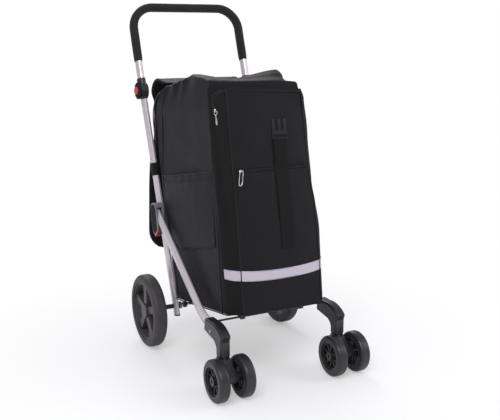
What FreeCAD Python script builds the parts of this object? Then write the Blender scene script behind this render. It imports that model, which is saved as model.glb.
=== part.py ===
import FreeCAD, Part
import math
import os

# Folding shopping trolley: an oval-tube frame with two big rear wheels, twin front casters on
# folding legs, a push-button handle joint, a wire base and a soft bag with pockets and a lid.
# Millimetres. +Z is up, the front of the trolley faces -Y and its left, seen from the front,
# is -X. The model is drawn with the rear axle at Y = 0 and then moved, so that the origin lies
# on the floor under the middle of the trolley.

# Rear wheels and axle
rear_wheel_diameter = 200.0
rear_wheel_width = 36.0
rear_track = 414.0
rear_rim_radius = 79.0
rear_hub_radius = 20.0
rear_hub_reach = 20.0
rear_hub_face = 15.5
hub_cap_thickness = 3.0
rear_spoke_count = 5
axle_diameter = 8.0
axle_sleeve_diameter = 13.0
clamp_diameter = 20.0
clamp_width = 7.0

# Oval frame tube, and where the two main tubes stand
tube_depth = 30.0
tube_width = 15.0
tube_wall = 1.5
tube_spacing_at_axle = 254.0
tube_spacing_at_knuckle = 326.0
knuckle_height = 694.0
knuckle_setback = 120.0
tube_foot = 24.0
cross_tube_diameter = 16.0
cross_tube_gap = 0.7

# Handle and its joint
handle_lean = 18.5
handle_rise = 238.0
handle_corner_radius = 62.0
handle_tube_depth = 26.0
handle_tube_width = 18.0
grip_wall = 2.6
grip_start = 82.0
knuckle_radius = 22.0
knuckle_half = 10.0
knuckle_gap = 0.4
cover_radius = 23.0
cover_thickness = 6.5
button_diameter = 20.0
button_travel = 4.0
button_standout = 6.0
pivot_boss_diameter = 12.0

# Front legs, their pivot and its housing
caster_track = 326.0
leg_pivot_setback = 25.0
leg_pivot_height = 361.0
leg_bend_reach = 262.0
leg_bend_height = 161.0
leg_bend_radius = 140.0
leg_end_reach = 325.0
leg_end_height = 148.8
leg_head = 15.5
fold_pin_diameter = 10.0
housing_setback = 29.0
housing_height = 350.0
housing_length = 88.0
housing_width = 40.0
housing_plate = 3.2
housing_rim = 2.8
sleeve_wall = 3.0
latch_tab_width = 14.0
latch_tab_depth = 6.6
latch_tab_length = 35.0

# Front casters
caster_wheel_diameter = 104.0
caster_wheel_width = 28.0
caster_wheel_spacing = 67.0
caster_rim_radius = 35.0
caster_spoke_count = 10
wheelbase = 378.0
caster_lead = 34.0
arm_width = 27.0
arm_edge_radius = 6.0
stem_pin_diameter = 11.0
cross_wire_diameter = 5.0
cross_wire_reach = 321.0
cross_wire_height = 163.0

# Wire base
base_wire_diameter = 5.0
base_half_width = 100.0
base_front_reach = 345.0
base_bar_count = 5
base_rail_count = 4
base_slope = 9.0
eye_diameter = 18.0
eye_width = 9.0
hook_width = 14.0
hook_offset = 84.0

# Bag
bag_floor_height = 127.5
bag_wall = 3.0
bag_corner = 14.0
bag_bottom_half_width = 136.0
bag_middle_half_width = 142.0
bag_top_half_width = 147.0
board_thickness = 3.0
pocket_half_width = 110.0
side_pocket_wall = 1.4
side_pocket_face = 154.6
strap_width = 38.0
strap_offset = 20.0
strap_thickness = 1.6
stripe_height = 25.0
stripe_middle_height = 284.0
lower_zip_height = 530.0
lower_zip_half_width = 104.0
zip_tape = 12.0
lid_half_width = 118.0
lid_thickness = 6.0
lid_bottom_height = 238.0
cord_diameter = 3.2

# Fits
running_clearance = 0.05
rivet_seat_gap = 0.02
sleeve_clearance = 0.1
soft_gap = 0.3
slide_gap = 0.3

UP = FreeCAD.Vector(0, 0, 1)
ACROSS = FreeCAD.Vector(1, 0, 0)
REARWARD = FreeCAD.Vector(0, 1, 0)
CENTRE = FreeCAD.Vector(0, 0, 0)

axle_height = rear_wheel_diameter / 2
wheel_middle = rear_track / 2
leg_plane = caster_track / 2
knuckle_plane = tube_spacing_at_knuckle / 2
axle_point = FreeCAD.Vector(tube_spacing_at_axle / 2, 0, axle_height)
knuckle_point = FreeCAD.Vector(knuckle_plane, knuckle_setback, knuckle_height)
tube_down = (axle_point - knuckle_point).normalize()
handle_up = FreeCAD.Vector(0, math.sin(math.radians(handle_lean)), math.cos(math.radians(handle_lean)))
tube_side_lean = math.atan2(knuckle_setback, knuckle_height - axle_height)


def at(x, y, z):
    """A point, with Y measured back from the rear axle."""
    return FreeCAD.Vector(x, y, z)


def mirrored(shape):
    """The same shape on the other side of the trolley."""
    return shape.mirror(CENTRE, ACROSS)


def both_sides(shape):
    """The shape and its mirror image as one group of solids."""
    return Part.makeCompound(shape.Solids + mirrored(shape).Solids)


def turned_to(point, direction, across):
    """Placement with local Z along the direction and local Y as near as possible to across."""
    turn = FreeCAD.Rotation(FreeCAD.Vector(1, 0, 0), across, direction, "ZYX")
    return FreeCAD.Placement(point, turn)


def oval_wire(depth, width):
    """Ellipse in the XY plane, its depth along Y and its width along X."""
    if depth > width:
        curve = Part.Ellipse(at(0, depth / 2, 0), at(width / 2, 0, 0), CENTRE)
    else:
        curve = Part.Ellipse(at(width / 2, 0, 0), at(0, depth / 2, 0), CENTRE)
    return Part.Wire([curve.toShape()])


def oval_rod(start, end, depth, width):
    """Solid oval bar from start to end, its long side fore and aft."""
    run = end - start
    rod = Part.Face(oval_wire(depth, width)).extrude(at(0, 0, run.Length))
    rod.Placement = turned_to(start, run.normalize(), REARWARD)
    return rod


def round_rod(start, end, diameter):
    """Solid round bar from start to end."""
    run = end - start
    return Part.makeCylinder(diameter / 2, run.Length, start, run)


def ring(start, end, outer, inner):
    """Round tube from start to end."""
    margin = (end - start).normalize()
    return round_rod(start, end, outer).cut(round_rod(start - margin, end + margin, inner))


def rounded_path(points, radii):
    """Straight runs joined by tangent arcs, one radius for each inner point."""
    edges = []
    last = points[0]
    for before, corner, after, radius in zip(points, points[1:], points[2:], radii):
        into = (corner - before).normalize()
        out = (after - corner).normalize()
        turn = into.getAngle(out)
        cut_back = radius * math.tan(turn / 2)
        start = corner - into * cut_back
        end = corner + out * cut_back
        inward = (out - into).normalize()
        middle = corner + inward * (radius / math.cos(turn / 2) - radius)
        edges.append(Part.makeLine(last, start))
        edges.append(Part.Arc(start, middle, end).toShape())
        last = end
    edges.append(Part.makeLine(last, points[-1]))
    return Part.Wire(edges)


def swept_oval(points, radii, depth, width, across):
    """Oval bar swept along a rounded path, its depth kept along the across direction."""
    path = rounded_path(points, radii)
    profile = oval_wire(depth, width)
    profile.Placement = turned_to(points[0], (points[1] - points[0]).normalize(), across)
    return path.makePipeShell([profile], True, False)


def swept_round(points, radii, diameter):
    """Round bar swept along a rounded path."""
    path = rounded_path(points, radii)
    start = points[0]
    profile = Part.Wire([Part.makeCircle(diameter / 2, start, points[1] - start)])
    return path.makePipeShell([profile], True, False)


def limp_radii(points):
    """Arc radii of a limp cord: 0.45 of the shorter run at each inner point."""
    radii = []
    for before, corner, after in zip(points, points[1:], points[2:]):
        shorter = min((corner - before).Length, (after - corner).Length)
        turn = (corner - before).getAngle(after - corner)
        radii.append(0.45 * shorter / math.tan(turn / 2))
    return radii


def side_profile(points, x_from, x_to):
    """Plate whose outline is given in Y and Z, from one X to another."""
    corners = [at(x_from, y, z) for y, z in points]
    outline = Part.makePolygon(corners + [corners[0]])
    return Part.Face(outline).extrude(at(x_to - x_from, 0, 0))


# ---------------------------------------------------------------- frame

def tube_point(drop):
    """Point on the right main tube's centre line, that far below the knuckle's pivot."""
    return knuckle_point + tube_down * drop


def tube_point_at_height(height):
    """Point on the right main tube's centre line at a height."""
    return tube_point((knuckle_height - height) / -tube_down.z)


tube_top_drop = knuckle_radius + 1.5
tube_length_to_axle = (axle_point - knuckle_point).Length


def main_tube():
    """Oval tube from the knuckle to just below the axle, with the axle's cross hole."""
    top = tube_point(tube_top_drop)
    foot = tube_point(tube_length_to_axle + tube_foot)
    tube = oval_rod(top, foot, tube_depth, tube_width)
    bore = oval_rod(top - tube_down, foot + tube_down, tube_depth - 2 * tube_wall, tube_width - 2 * tube_wall)
    hole = round_rod(axle_point - ACROSS * tube_width, axle_point + ACROSS * tube_width,
                     axle_diameter + 2 * running_clearance)
    return tube.cut(bore).cut(hole)


def tube_end_plug():
    """Plastic plug that closes the main tube's lower end."""
    foot = tube_point(tube_length_to_axle + tube_foot)
    cap = oval_rod(foot, foot + tube_down * 4, tube_depth, tube_width)
    inner_depth = tube_depth - 2 * tube_wall - 2 * sleeve_clearance
    inner_width = tube_width - 2 * tube_wall - 2 * sleeve_clearance
    stalk = oval_rod(foot - tube_down * 12, foot, inner_depth, inner_width)
    return cap.fuse(stalk)


def rear_axle():
    """Steel rod through both main tubes, with an end in each wheel hub."""
    end = wheel_middle + rear_hub_face - hub_cap_thickness - slide_gap
    return round_rod(at(-end, 0, axle_height), at(end, 0, axle_height), axle_diameter)


hub_inner_face = wheel_middle - rear_hub_reach


def axle_sleeve():
    """Spacer on the axle between the main tube and the wheel hub."""
    start = at(axle_point.x + tube_width / 2 + 1.0, 0, axle_height)
    end = at(hub_inner_face - slide_gap, 0, axle_height)
    return ring(start, end, axle_sleeve_diameter, axle_diameter + 2 * running_clearance)


def base_clamp():
    """Collar on the axle against the inside of the main tube."""
    end = axle_point.x - tube_width / 2 - 1.0
    return ring(at(end - clamp_width, 0, axle_height), at(end, 0, axle_height),
                clamp_diameter, axle_diameter + 2 * running_clearance)


def housing_frame():
    """Placement of the leg housing: local Z up along the main tube, local Y to the rear."""
    up = at(0, math.sin(tube_side_lean), math.cos(tube_side_lean))
    return turned_to(at(leg_plane, housing_setback, housing_height), up, REARWARD)


def housing_plate_shape(x_from, x_to, inset):
    """Plate with half-round ends in the housing's local frame, centred on the leg's plane."""
    half = housing_width / 2 - inset
    straight = housing_length / 2 - housing_width / 2
    middle = Part.makeBox(x_to - x_from, 2 * half, 2 * straight, at(x_from, -half, -straight))
    top = Part.makeCylinder(half, x_to - x_from, at(x_from, 0, straight), ACROSS)
    bottom = Part.makeCylinder(half, x_to - x_from, at(x_from, 0, -straight), ACROSS)
    return middle.multiFuse([top, bottom]).removeSplitter()


def tube_sleeve():
    """Sleeve around the main tube that carries the leg housing."""
    top = tube_point_at_height(housing_height + 35)
    bottom = tube_point_at_height(housing_height - 35)
    sleeve = oval_rod(top, bottom, tube_depth + 2 * sleeve_wall, tube_width + 2 * sleeve_wall)
    bore = oval_rod(top - tube_down * 5, bottom + tube_down * 5,
                    tube_depth + 2 * sleeve_clearance, tube_width + 2 * sleeve_clearance)
    return sleeve.cut(bore), bore


def latch_housing():
    """Leg housing: two plates, a rim behind and above the leg, and the sleeve on the main tube."""
    reach = tube_width / 2 + 0.6
    inner = housing_plate_shape(-reach - housing_plate, -reach, 0)
    outer = housing_plate_shape(reach, reach + housing_plate, 0)
    rim = housing_plate_shape(-reach - 0.5, reach + 0.5, 0)
    rim = rim.cut(housing_plate_shape(-reach - 1, reach + 1, housing_rim))
    front = Part.makeBox(4 * reach, housing_width, housing_length,
                         at(-2 * reach, -housing_width + 10, 30 - housing_length))
    rim = rim.cut(front)
    slot_top = housing_width / 2 - housing_length / 2 + 5
    tab_slot = Part.makeBox(4 * reach, housing_width, housing_length,
                            at(-2 * reach, -5, slot_top - housing_length))
    rim = rim.cut(tab_slot)
    shell = inner.multiFuse([outer, rim])
    shell.Placement = housing_frame()
    sleeve, bore = tube_sleeve()
    pin_hole = round_rod(at(leg_plane - reach - 12, leg_pivot_setback, leg_pivot_height),
                         at(leg_plane + reach + 12, leg_pivot_setback, leg_pivot_height),
                         fold_pin_diameter)
    return shell.fuse(sleeve).cut(bore).cut(pin_hole)


def latch_cover():
    """Dark inlay on the housing's outer face."""
    start = tube_width / 2 + 0.6 + housing_plate
    cover = housing_plate_shape(start, start + 1.4, 4.5)
    cover.Placement = housing_frame()
    return cover


def fold_pin():
    """Steel pin through the housing on which the front leg turns."""
    reach = tube_width / 2 + 0.6 + housing_plate
    return round_rod(at(leg_plane - reach, leg_pivot_setback, leg_pivot_height),
                     at(leg_plane + reach, leg_pivot_setback, leg_pivot_height), fold_pin_diameter)


def latch_tab():
    """Release tab that slides up behind the front leg, along the housing's rear wall."""
    top_face = housing_width / 2 - housing_rim - slide_gap
    tab = Part.makeBox(latch_tab_width, latch_tab_depth, latch_tab_length,
                       at(-latch_tab_width / 2, top_face - latch_tab_depth, -housing_length / 2 - 5))
    lip = Part.makeBox(latch_tab_width, latch_tab_depth + 5, 5,
                       at(-latch_tab_width / 2, top_face - latch_tab_depth - 5, -housing_length / 2 - 5))
    tab = tab.fuse(lip)
    tab = tab.makeFillet(1.5, [edge for edge in tab.Edges if abs(edge.Length - latch_tab_width) < 1])
    tab.Placement = housing_frame()
    return tab


def rear_cross_tube():
    """Round tube behind the bag that ties the two housing sleeves together."""
    middle = tube_point_at_height(housing_height)
    end = middle.x - tube_width / 2 - sleeve_wall - cross_tube_gap
    centre_y = middle.y
    return ring(at(-end, centre_y, housing_height), at(end, centre_y, housing_height),
                cross_tube_diameter, cross_tube_diameter - 2 * tube_wall)


def rivet(point, outward, diameter, height):
    """Domed rivet head standing on a surface."""
    head = Part.makeCylinder(diameter / 2, height, point, outward)
    rim_edges = [edge for edge in head.Edges if abs((edge.CenterOfMass - point).dot(outward) - height) < 0.01]
    return head.makeFillet(height * 0.6, rim_edges)


def frame_rivets():
    """Rivet heads on the outside of the main tubes: at the knuckle plug and at the tube band."""
    heads = []
    outward = ACROSS - tube_down * ACROSS.dot(tube_down)
    outward.normalize()
    for drop in (38.0, 190.0):
        point = tube_point(drop) + outward * (tube_width / 2 + rivet_seat_gap)
        heads.append(rivet(point, outward, 7.0, 1.6))
    return both_sides(Part.makeCompound(heads))


band_height = 480.0
band_length = 34.0


def tube_band():
    """Webbing loop around the main tube with a short tab to the bag's rear edge."""
    top = tube_point_at_height(band_height + band_length / 2)
    bottom = tube_point_at_height(band_height - band_length / 2)
    loop = oval_rod(top, bottom, tube_depth + 3.4, tube_width + 3.4)
    bore = oval_rod(top - tube_down * 5, bottom + tube_down * 5,
                    tube_depth + 2 * sleeve_clearance, tube_width + 2 * sleeve_clearance)
    middle = tube_point_at_height(band_height)
    tab_x = bag_middle_half_width - bag_corner - 1
    tab_foot = band_height - band_length / 2 + 3
    tab_start = bag_rear(band_height + band_length / 2) + soft_gap
    tube_front = middle.y - tube_depth / 2
    tab = Part.makeBox(2.0, tube_front - tab_start + 1, band_length - 6, at(tab_x, tab_start, tab_foot))
    bridge = Part.makeBox(middle.x - tab_x, 2.0, band_length - 6, at(tab_x, tube_front - 1.2, tab_foot))
    return loop.multiFuse([tab, bridge]).cut(bore)


# ---------------------------------------------------------------- handle

half_gap = knuckle_gap / 2


def pivot_disc(x_from, x_to, radius):
    """Disc about the handle's pivot axis on the right side."""
    return Part.makeCylinder(radius, x_to - x_from, at(x_from, knuckle_setback, knuckle_height), ACROSS)


def knuckle_base():
    """Inner half of the handle joint, plugged into the main tube, with the pivot boss."""
    disc = pivot_disc(knuckle_plane - half_gap - knuckle_half, knuckle_plane - half_gap, knuckle_radius)
    neck = oval_rod(tube_point(knuckle_radius - 8), tube_point(tube_top_drop), tube_depth, tube_width)
    inner_depth = tube_depth - 2 * tube_wall - 2 * sleeve_clearance
    inner_width = tube_width - 2 * tube_wall - 2 * sleeve_clearance
    plug = oval_rod(tube_point(tube_top_drop), tube_point(tube_top_drop + 25), inner_depth, inner_width)
    swing_room = pivot_disc(knuckle_plane - half_gap, knuckle_plane + 40, knuckle_radius + 0.6)
    boss = pivot_disc(knuckle_plane - half_gap - 1, knuckle_plane + 4, pivot_boss_diameter / 2)
    return disc.multiFuse([neck, plug]).cut(swing_room).fuse(boss)


button_pocket_floor = knuckle_plane + half_gap + 4.3


def handle_point(rise, side):
    """Point on the handle's centre line, that far along it from the pivot."""
    return at(side * knuckle_plane, knuckle_setback, knuckle_height) + handle_up * rise


def knuckle_top():
    """Outer half of the handle joint with the collar that holds the handle tube."""
    disc = pivot_disc(knuckle_plane + half_gap, knuckle_plane + half_gap + knuckle_half, knuckle_radius)
    collar = oval_rod(handle_point(knuckle_radius - 6, 1), handle_point(knuckle_radius + 11, 1),
                      handle_tube_depth + 6, handle_tube_width + 5)
    socket = oval_rod(handle_point(knuckle_radius + 2, 1), handle_point(knuckle_radius + 12, 1),
                      handle_tube_depth + 2 * sleeve_clearance, handle_tube_width + 2 * sleeve_clearance)
    swing_room = pivot_disc(knuckle_plane - 40, knuckle_plane + half_gap, knuckle_radius + 0.6)
    boss_hole = pivot_disc(knuckle_plane - 1, button_pocket_floor + 1,
                           pivot_boss_diameter / 2 + running_clearance)
    pocket = pivot_disc(button_pocket_floor, knuckle_plane + 30, button_diameter / 2 + slide_gap)
    cover_room = pivot_disc(knuckle_plane + half_gap + knuckle_half, knuckle_plane + 40,
                            cover_radius + slide_gap)
    return disc.fuse(collar.cut(cover_room)).cut(socket).cut(swing_room).cut(boss_hole).cut(pocket)


def knuckle_cover():
    """Grey ring on the joint's outer face around the push button."""
    start = knuckle_plane + half_gap + knuckle_half
    disc = pivot_disc(start, start + cover_thickness, cover_radius)
    rim = [edge for edge in disc.Edges if edge.CenterOfMass.x > start + cover_thickness - 0.1]
    disc = disc.makeFillet(3.0, rim)
    hole = pivot_disc(start - 1, start + cover_thickness + 1, button_diameter / 2 + slide_gap)
    return disc.cut(hole)


def push_button():
    """Domed button that is pressed inward to free the handle joint."""
    inner_end = button_pocket_floor + button_travel + 0.4
    outer_end = knuckle_plane + half_gap + knuckle_half + cover_thickness + button_standout
    button = pivot_disc(inner_end, outer_end, button_diameter / 2)
    rim = [edge for edge in button.Edges if edge.CenterOfMass.x > outer_end - 0.1]
    return button.makeFillet(4.0, rim)


def handle_path(start_rise):
    """Corners of the U-shaped handle from one leg to the other."""
    return [handle_point(start_rise, 1), handle_point(handle_rise, 1),
            handle_point(handle_rise, -1), handle_point(start_rise, -1)]


handle_normal = at(0, math.cos(math.radians(handle_lean)), -math.sin(math.radians(handle_lean)))
handle_corners = [handle_corner_radius, handle_corner_radius]


def handle_tube():
    """U-shaped oval tube between the two joints."""
    start = knuckle_radius + 2.2
    outer = swept_oval(handle_path(start), handle_corners, handle_tube_depth, handle_tube_width,
                       handle_normal)
    inner = swept_oval(handle_path(start - 1), handle_corners, handle_tube_depth - 2 * tube_wall,
                       handle_tube_width - 2 * tube_wall, handle_normal)
    return outer.cut(inner)


def foam_grip():
    """Foam sleeve over the handle's bar and upper legs."""
    outer = swept_oval(handle_path(grip_start), handle_corners, handle_tube_depth + 2 * grip_wall,
                       handle_tube_width + 2 * grip_wall, handle_normal)
    inner = swept_oval(handle_path(grip_start - 1), handle_corners, handle_tube_depth + 2 * sleeve_clearance,
                       handle_tube_width + 2 * sleeve_clearance, handle_normal)
    return outer.cut(inner)


# ---------------------------------------------------------------- front legs and casters

leg_bend = at(leg_plane, -leg_bend_reach, leg_bend_height)
leg_pivot = at(leg_plane, leg_pivot_setback, leg_pivot_height)
leg_up = (leg_pivot - leg_bend).normalize()


def leg_path(extra):
    """Corners of the front leg, from its head past the pivot to its end in the caster arm."""
    end = at(leg_plane, -leg_end_reach, leg_end_height)
    onward = (end - leg_bend).normalize()
    return [leg_pivot + leg_up * (leg_head + extra), leg_bend, end + onward * extra]


def front_leg():
    """Oval leg tube, bent forward near its lower end, with the fold pin's hole."""
    normal = at(0, leg_up.z, -leg_up.y)
    outer = swept_oval(leg_path(0), [leg_bend_radius], tube_depth, tube_width, normal)
    inner = swept_oval(leg_path(1), [leg_bend_radius], tube_depth - 2 * tube_wall,
                       tube_width - 2 * tube_wall, normal)
    hole = round_rod(leg_pivot - ACROSS * tube_width, leg_pivot + ACROSS * tube_width,
                     fold_pin_diameter + 2 * running_clearance)
    return outer.cut(inner).cut(hole)


stem_front = -wheelbase - arm_width / 2
stem_rear = -wheelbase + arm_width / 2
arm_bottom = 98.0


def caster_arm():
    """Plastic arm: a socket on the leg, a round shoulder and a stem that holds the caster's pin."""
    start = at(0, -304, 169)
    chin = at(0, stem_front - 5, 148)
    top = Part.makeLine(start, at(0, -332, 169))
    crown = Part.Arc(at(0, -332, 169), at(0, -374, 163), chin).toShape()
    visor = Part.makeLine(chin, at(0, stem_front, 134))
    front = Part.makeLine(at(0, stem_front, 134), at(0, stem_front, arm_bottom))
    bottom = Part.makeLine(at(0, stem_front, arm_bottom), at(0, stem_rear, arm_bottom))
    rear = Part.makeLine(at(0, stem_rear, arm_bottom), at(0, stem_rear, 112))
    throat = Part.Arc(at(0, stem_rear, 112), at(0, -356, 123), at(0, -342, 128)).toShape()
    under = Part.makeLine(at(0, -342, 128), at(0, -300, 135))
    back = Part.makeLine(at(0, -300, 135), start)
    outline = Part.Wire([top, crown, visor, front, bottom, rear, throat, under, back])
    arm = Part.Face(outline).extrude(at(arm_width, 0, 0))
    arm.translate(at(leg_plane - arm_width / 2, 0, 0))
    outline_edges = [edge for edge in arm.Edges if abs(edge.BoundBox.XLength) < 0.01
                     and edge.BoundBox.ZMax > arm_bottom + 1 and edge.BoundBox.YMin < -305]
    arm = arm.makeFillet(arm_edge_radius, outline_edges)
    normal = at(0, leg_up.z, -leg_up.y)
    socket = swept_oval(leg_path(0.3), [leg_bend_radius], tube_depth + 2 * sleeve_clearance,
                        tube_width + 2 * sleeve_clearance, normal)
    bore = round_rod(at(leg_plane, -wheelbase, arm_bottom - 1), at(leg_plane, -wheelbase, 141),
                     stem_pin_diameter + 2 * running_clearance)
    wire_hole = round_rod(at(0, -cross_wire_reach, cross_wire_height),
                          at(leg_plane - tube_width / 2 - 0.6, -cross_wire_reach, cross_wire_height),
                          cross_wire_diameter + 2 * running_clearance)
    return arm.cut(socket).cut(bore).cut(wire_hole)


def front_cross_wire():
    """Steel wire between the two caster arms that holds up the wire base."""
    end = leg_plane - tube_width / 2 - 0.8
    return round_rod(at(-end, -cross_wire_reach, cross_wire_height),
                     at(end, -cross_wire_reach, cross_wire_height), cross_wire_diameter)


def front_rivets():
    """Rivet heads on the outer sides of the front legs and caster arms."""
    on_leg = rivet(at(leg_plane + tube_width / 2 + 0.1, -236, 180), ACROSS, 7.0, 1.6)
    on_arm = rivet(at(leg_plane + arm_width / 2, -334, 145), ACROSS, 8.0, 1.6)
    return both_sides(Part.makeCompound([on_leg, on_arm]))


caster_axle_y = -wheelbase - caster_lead
caster_axle_z = caster_wheel_diameter / 2
hub_half_width = (caster_wheel_spacing - caster_wheel_width) / 2 - 1.0


def caster_hub():
    """Swivelling hub between the twin wheels, with the pin that turns in the arm."""
    pin = round_rod(at(leg_plane, -wheelbase, 70), at(leg_plane, -wheelbase, 140), stem_pin_diameter)
    crown = Part.makeCylinder(15.0, 34.0, at(leg_plane, -wheelbase, 63.5), UP)
    block = side_profile([(-wheelbase + 12, 92), (-wheelbase + 14, 66),
                          (caster_axle_y + 12, caster_axle_z - 14),
                          (caster_axle_y - 12, caster_axle_z - 10),
                          (caster_axle_y - 13, caster_axle_z + 10),
                          (-wheelbase - 12, 92)], leg_plane - 13, leg_plane + 13)
    boss = Part.makeCylinder(14.0, 2 * hub_half_width,
                             at(leg_plane - hub_half_width, caster_axle_y, caster_axle_z), ACROSS)
    hole = round_rod(at(leg_plane - 40, caster_axle_y, caster_axle_z),
                     at(leg_plane + 40, caster_axle_y, caster_axle_z),
                     axle_diameter + 2 * running_clearance)
    return crown.multiFuse([block, boss, pin]).cut(hole)


def caster_axle():
    """Steel axle of the twin wheels."""
    reach = caster_wheel_spacing / 2 + 9.0
    return round_rod(at(leg_plane - reach, caster_axle_y, caster_axle_z),
                     at(leg_plane + reach, caster_axle_y, caster_axle_z), axle_diameter)


def tyre(radius, width, inner_radius, rounding):
    """Tyre about the X axis: a band with rounded shoulders."""
    half = width / 2
    section = Part.makePolygon([at(-half, 0, inner_radius), at(-half, 0, radius), at(half, 0, radius),
                                at(half, 0, inner_radius), at(-half, 0, inner_radius)])
    band = Part.Face(section).revolve(CENTRE, ACROSS, 360)
    shoulders = [edge for edge in band.Edges
                 if abs(edge.BoundBox.ZMax - radius) < 0.1 and edge.BoundBox.XLength < 0.1]
    return band.makeFillet(rounding, shoulders)


def spoked_rim(radius, hub_radius, spoke_count, thickness, ring_width, spoke_width, hub_half, bore):
    """Rim about the X axis with a hub, straight spokes and open windows between them."""
    half = thickness / 2
    outer = Part.makeCylinder(radius, thickness, at(-half, 0, 0), ACROSS)
    hollow = Part.makeCylinder(radius - ring_width, thickness + 2, at(-half - 1, 0, 0), ACROSS)
    parts = [Part.makeCylinder(hub_radius, 2 * hub_half, at(-hub_half, 0, 0), ACROSS)]
    for index in range(spoke_count):
        spoke = Part.makeBox(thickness * 0.7, spoke_width, radius - ring_width / 2,
                             at(-half * 0.7, -spoke_width / 2, 0))
        spoke.rotate(CENTRE, ACROSS, index * 360.0 / spoke_count)
        parts.append(spoke)
    rim = outer.cut(hollow).multiFuse(parts)
    hole = Part.makeCylinder(bore / 2, 2 * hub_half + 2, at(-hub_half - 1, 0, 0), ACROSS)
    return rim.cut(hole)


def caster_wheel(offset):
    """One twin wheel of the right caster: a tyre on a ten-spoked rim."""
    bore = axle_diameter + 2 * running_clearance
    rubber = tyre(caster_wheel_diameter / 2, caster_wheel_width, caster_rim_radius, 8.0)
    rim = spoked_rim(caster_rim_radius, 11.0, caster_spoke_count, caster_wheel_width - 8, 4.0, 4.0,
                     caster_wheel_width / 2 - 1, bore)
    wheel = Part.makeCompound([rubber, rim])
    wheel.translate(at(leg_plane + offset, caster_axle_y, caster_axle_z))
    return wheel


def rear_tyre():
    """Tyre of the right rear wheel."""
    rubber = tyre(rear_wheel_diameter / 2, rear_wheel_width, rear_rim_radius, 11.0)
    rubber.translate(at(wheel_middle, 0, axle_height))
    return rubber


def rear_rim():
    """Five-spoked rim of the right rear wheel, its hub closed on the outside."""
    rim = spoked_rim(rear_rim_radius, rear_hub_radius, rear_spoke_count, rear_wheel_width - 6, 5.0, 20.0,
                     rear_hub_reach, axle_diameter + 2 * running_clearance)
    trim = Part.makeCylinder(rear_hub_radius + 1, rear_hub_reach, at(rear_hub_face, 0, 0), ACROSS)
    cap = Part.makeCylinder(axle_diameter, hub_cap_thickness,
                            at(rear_hub_face - hub_cap_thickness, 0, 0), ACROSS)
    rim = rim.cut(trim).fuse(cap)
    rim.translate(at(wheel_middle, 0, axle_height))
    return rim


# ---------------------------------------------------------------- bag

slope_rise = math.tan(math.radians(base_slope))

# Each level of the bag: height of its plane at the axle, rise per millimetre forward,
# rear edge, front edge, half width.
bag_levels = [
    (bag_floor_height, slope_rise, -22.0, -352.0, bag_bottom_half_width),
    (405.0, 0.13, 44.0, -322.0, bag_middle_half_width),
    (716.0, 0.07, 58.0, -278.0, bag_top_half_width),
]


def level_height(level, y):
    """Height of a level's plane at a distance from the axle."""
    return level[0] - level[1] * y


def bag_rear(height):
    """Where the bag's rear face lies at a height."""
    lower, upper = bag_levels[1], bag_levels[2]
    low = level_height(lower, lower[2])
    high = level_height(upper, upper[2])
    share = (height - low) / (high - low)
    return lower[2] + share * (upper[2] - lower[2])


def rounded_section(level, inset, lift):
    """Rounded rectangle in a level's plane, smaller all round by the inset."""
    rear = level[2] - inset
    front = level[3] + inset
    half = level[4] - inset
    radius = max(bag_corner - inset, 4.0)
    corners = [(half, rear), (half, front), (-half, front), (-half, rear)]
    edges = []
    for index, (x, y) in enumerate(corners):
        before = corners[index - 1]
        after = corners[(index + 1) % 4]
        into = FreeCAD.Vector(x - before[0], y - before[1], 0).normalize()
        out = FreeCAD.Vector(after[0] - x, after[1] - y, 0).normalize()
        corner = FreeCAD.Vector(x, y, 0)
        start = corner - into * radius
        end = corner + out * radius
        middle = corner + (out - into).normalize() * (radius * (math.sqrt(2) - 1))
        following = FreeCAD.Vector(after[0], after[1], 0) - out * radius
        arc_points = [at(p.x, p.y, level_height(level, p.y) + lift) for p in (start, middle, end)]
        edges.append(Part.Arc(*arc_points).toShape())
        next_corner = at(following.x, following.y, level_height(level, following.y) + lift)
        edges.append(Part.makeLine(arc_points[2], next_corner))
    return Part.Wire(edges)


def bag_shell():
    """Bag body: a tall box of cloth with rounded corners, open at the top."""
    outer = Part.makeLoft([rounded_section(level, 0, 0) for level in bag_levels], True, True)
    bottom, middle, top = bag_levels
    room = [rounded_section(bottom, bag_wall, bag_wall), rounded_section(middle, bag_wall, 0),
            rounded_section(top, bag_wall, 0)]
    inner = Part.makeLoft(room, True, True)
    mouth = Part.Face(rounded_section(top, bag_wall, 0)).extrude(at(0, 0, 10))
    return outer.cut(inner).cut(mouth)


def bag_base_board():
    """Stiff board on the bag's floor, over the wire base."""
    half = bag_bottom_half_width - bag_wall - 10
    board = side_profile([(-40, board_top(-40) - board_thickness), (-330, board_top(-330) - board_thickness),
                          (-330, board_top(-330)), (-40, board_top(-40))], -half, half)
    return board


def board_top(y):
    """Height of the base board's upper face."""
    return level_height(bag_levels[0], y) + bag_wall + soft_gap + board_thickness


# Depth of the front pocket at the three levels of the bag
pocket_depths = [32.0, 22.0, 9.0]


def pocket_outline(level, depth, back_gap):
    """Trapezium of the front pocket in a level's plane."""
    back = level[3] - back_gap
    front = level[3] - back_gap - depth
    wide = level[4] - bag_corner
    points = [(wide, back), (pocket_half_width, front), (-pocket_half_width, front), (-wide, back)]
    return [at(x, y, level_height(level, y)) for x, y in points]


def front_pocket():
    """Padded pocket over the whole front of the bag, with slanted sides."""
    wires = []
    for level, depth in zip(bag_levels, pocket_depths):
        points = pocket_outline(level, depth, soft_gap)
        wires.append(Part.makePolygon(points + [points[0]]))
    return Part.makeLoft(wires, True, True)


def pocket_front_points():
    """Y and Z of the pocket's front face at the three levels, bottom first."""
    points = []
    for level, depth in zip(bag_levels, pocket_depths):
        front = level[3] - soft_gap - depth
        points.append((front, level_height(level, front)))
    return points


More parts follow.
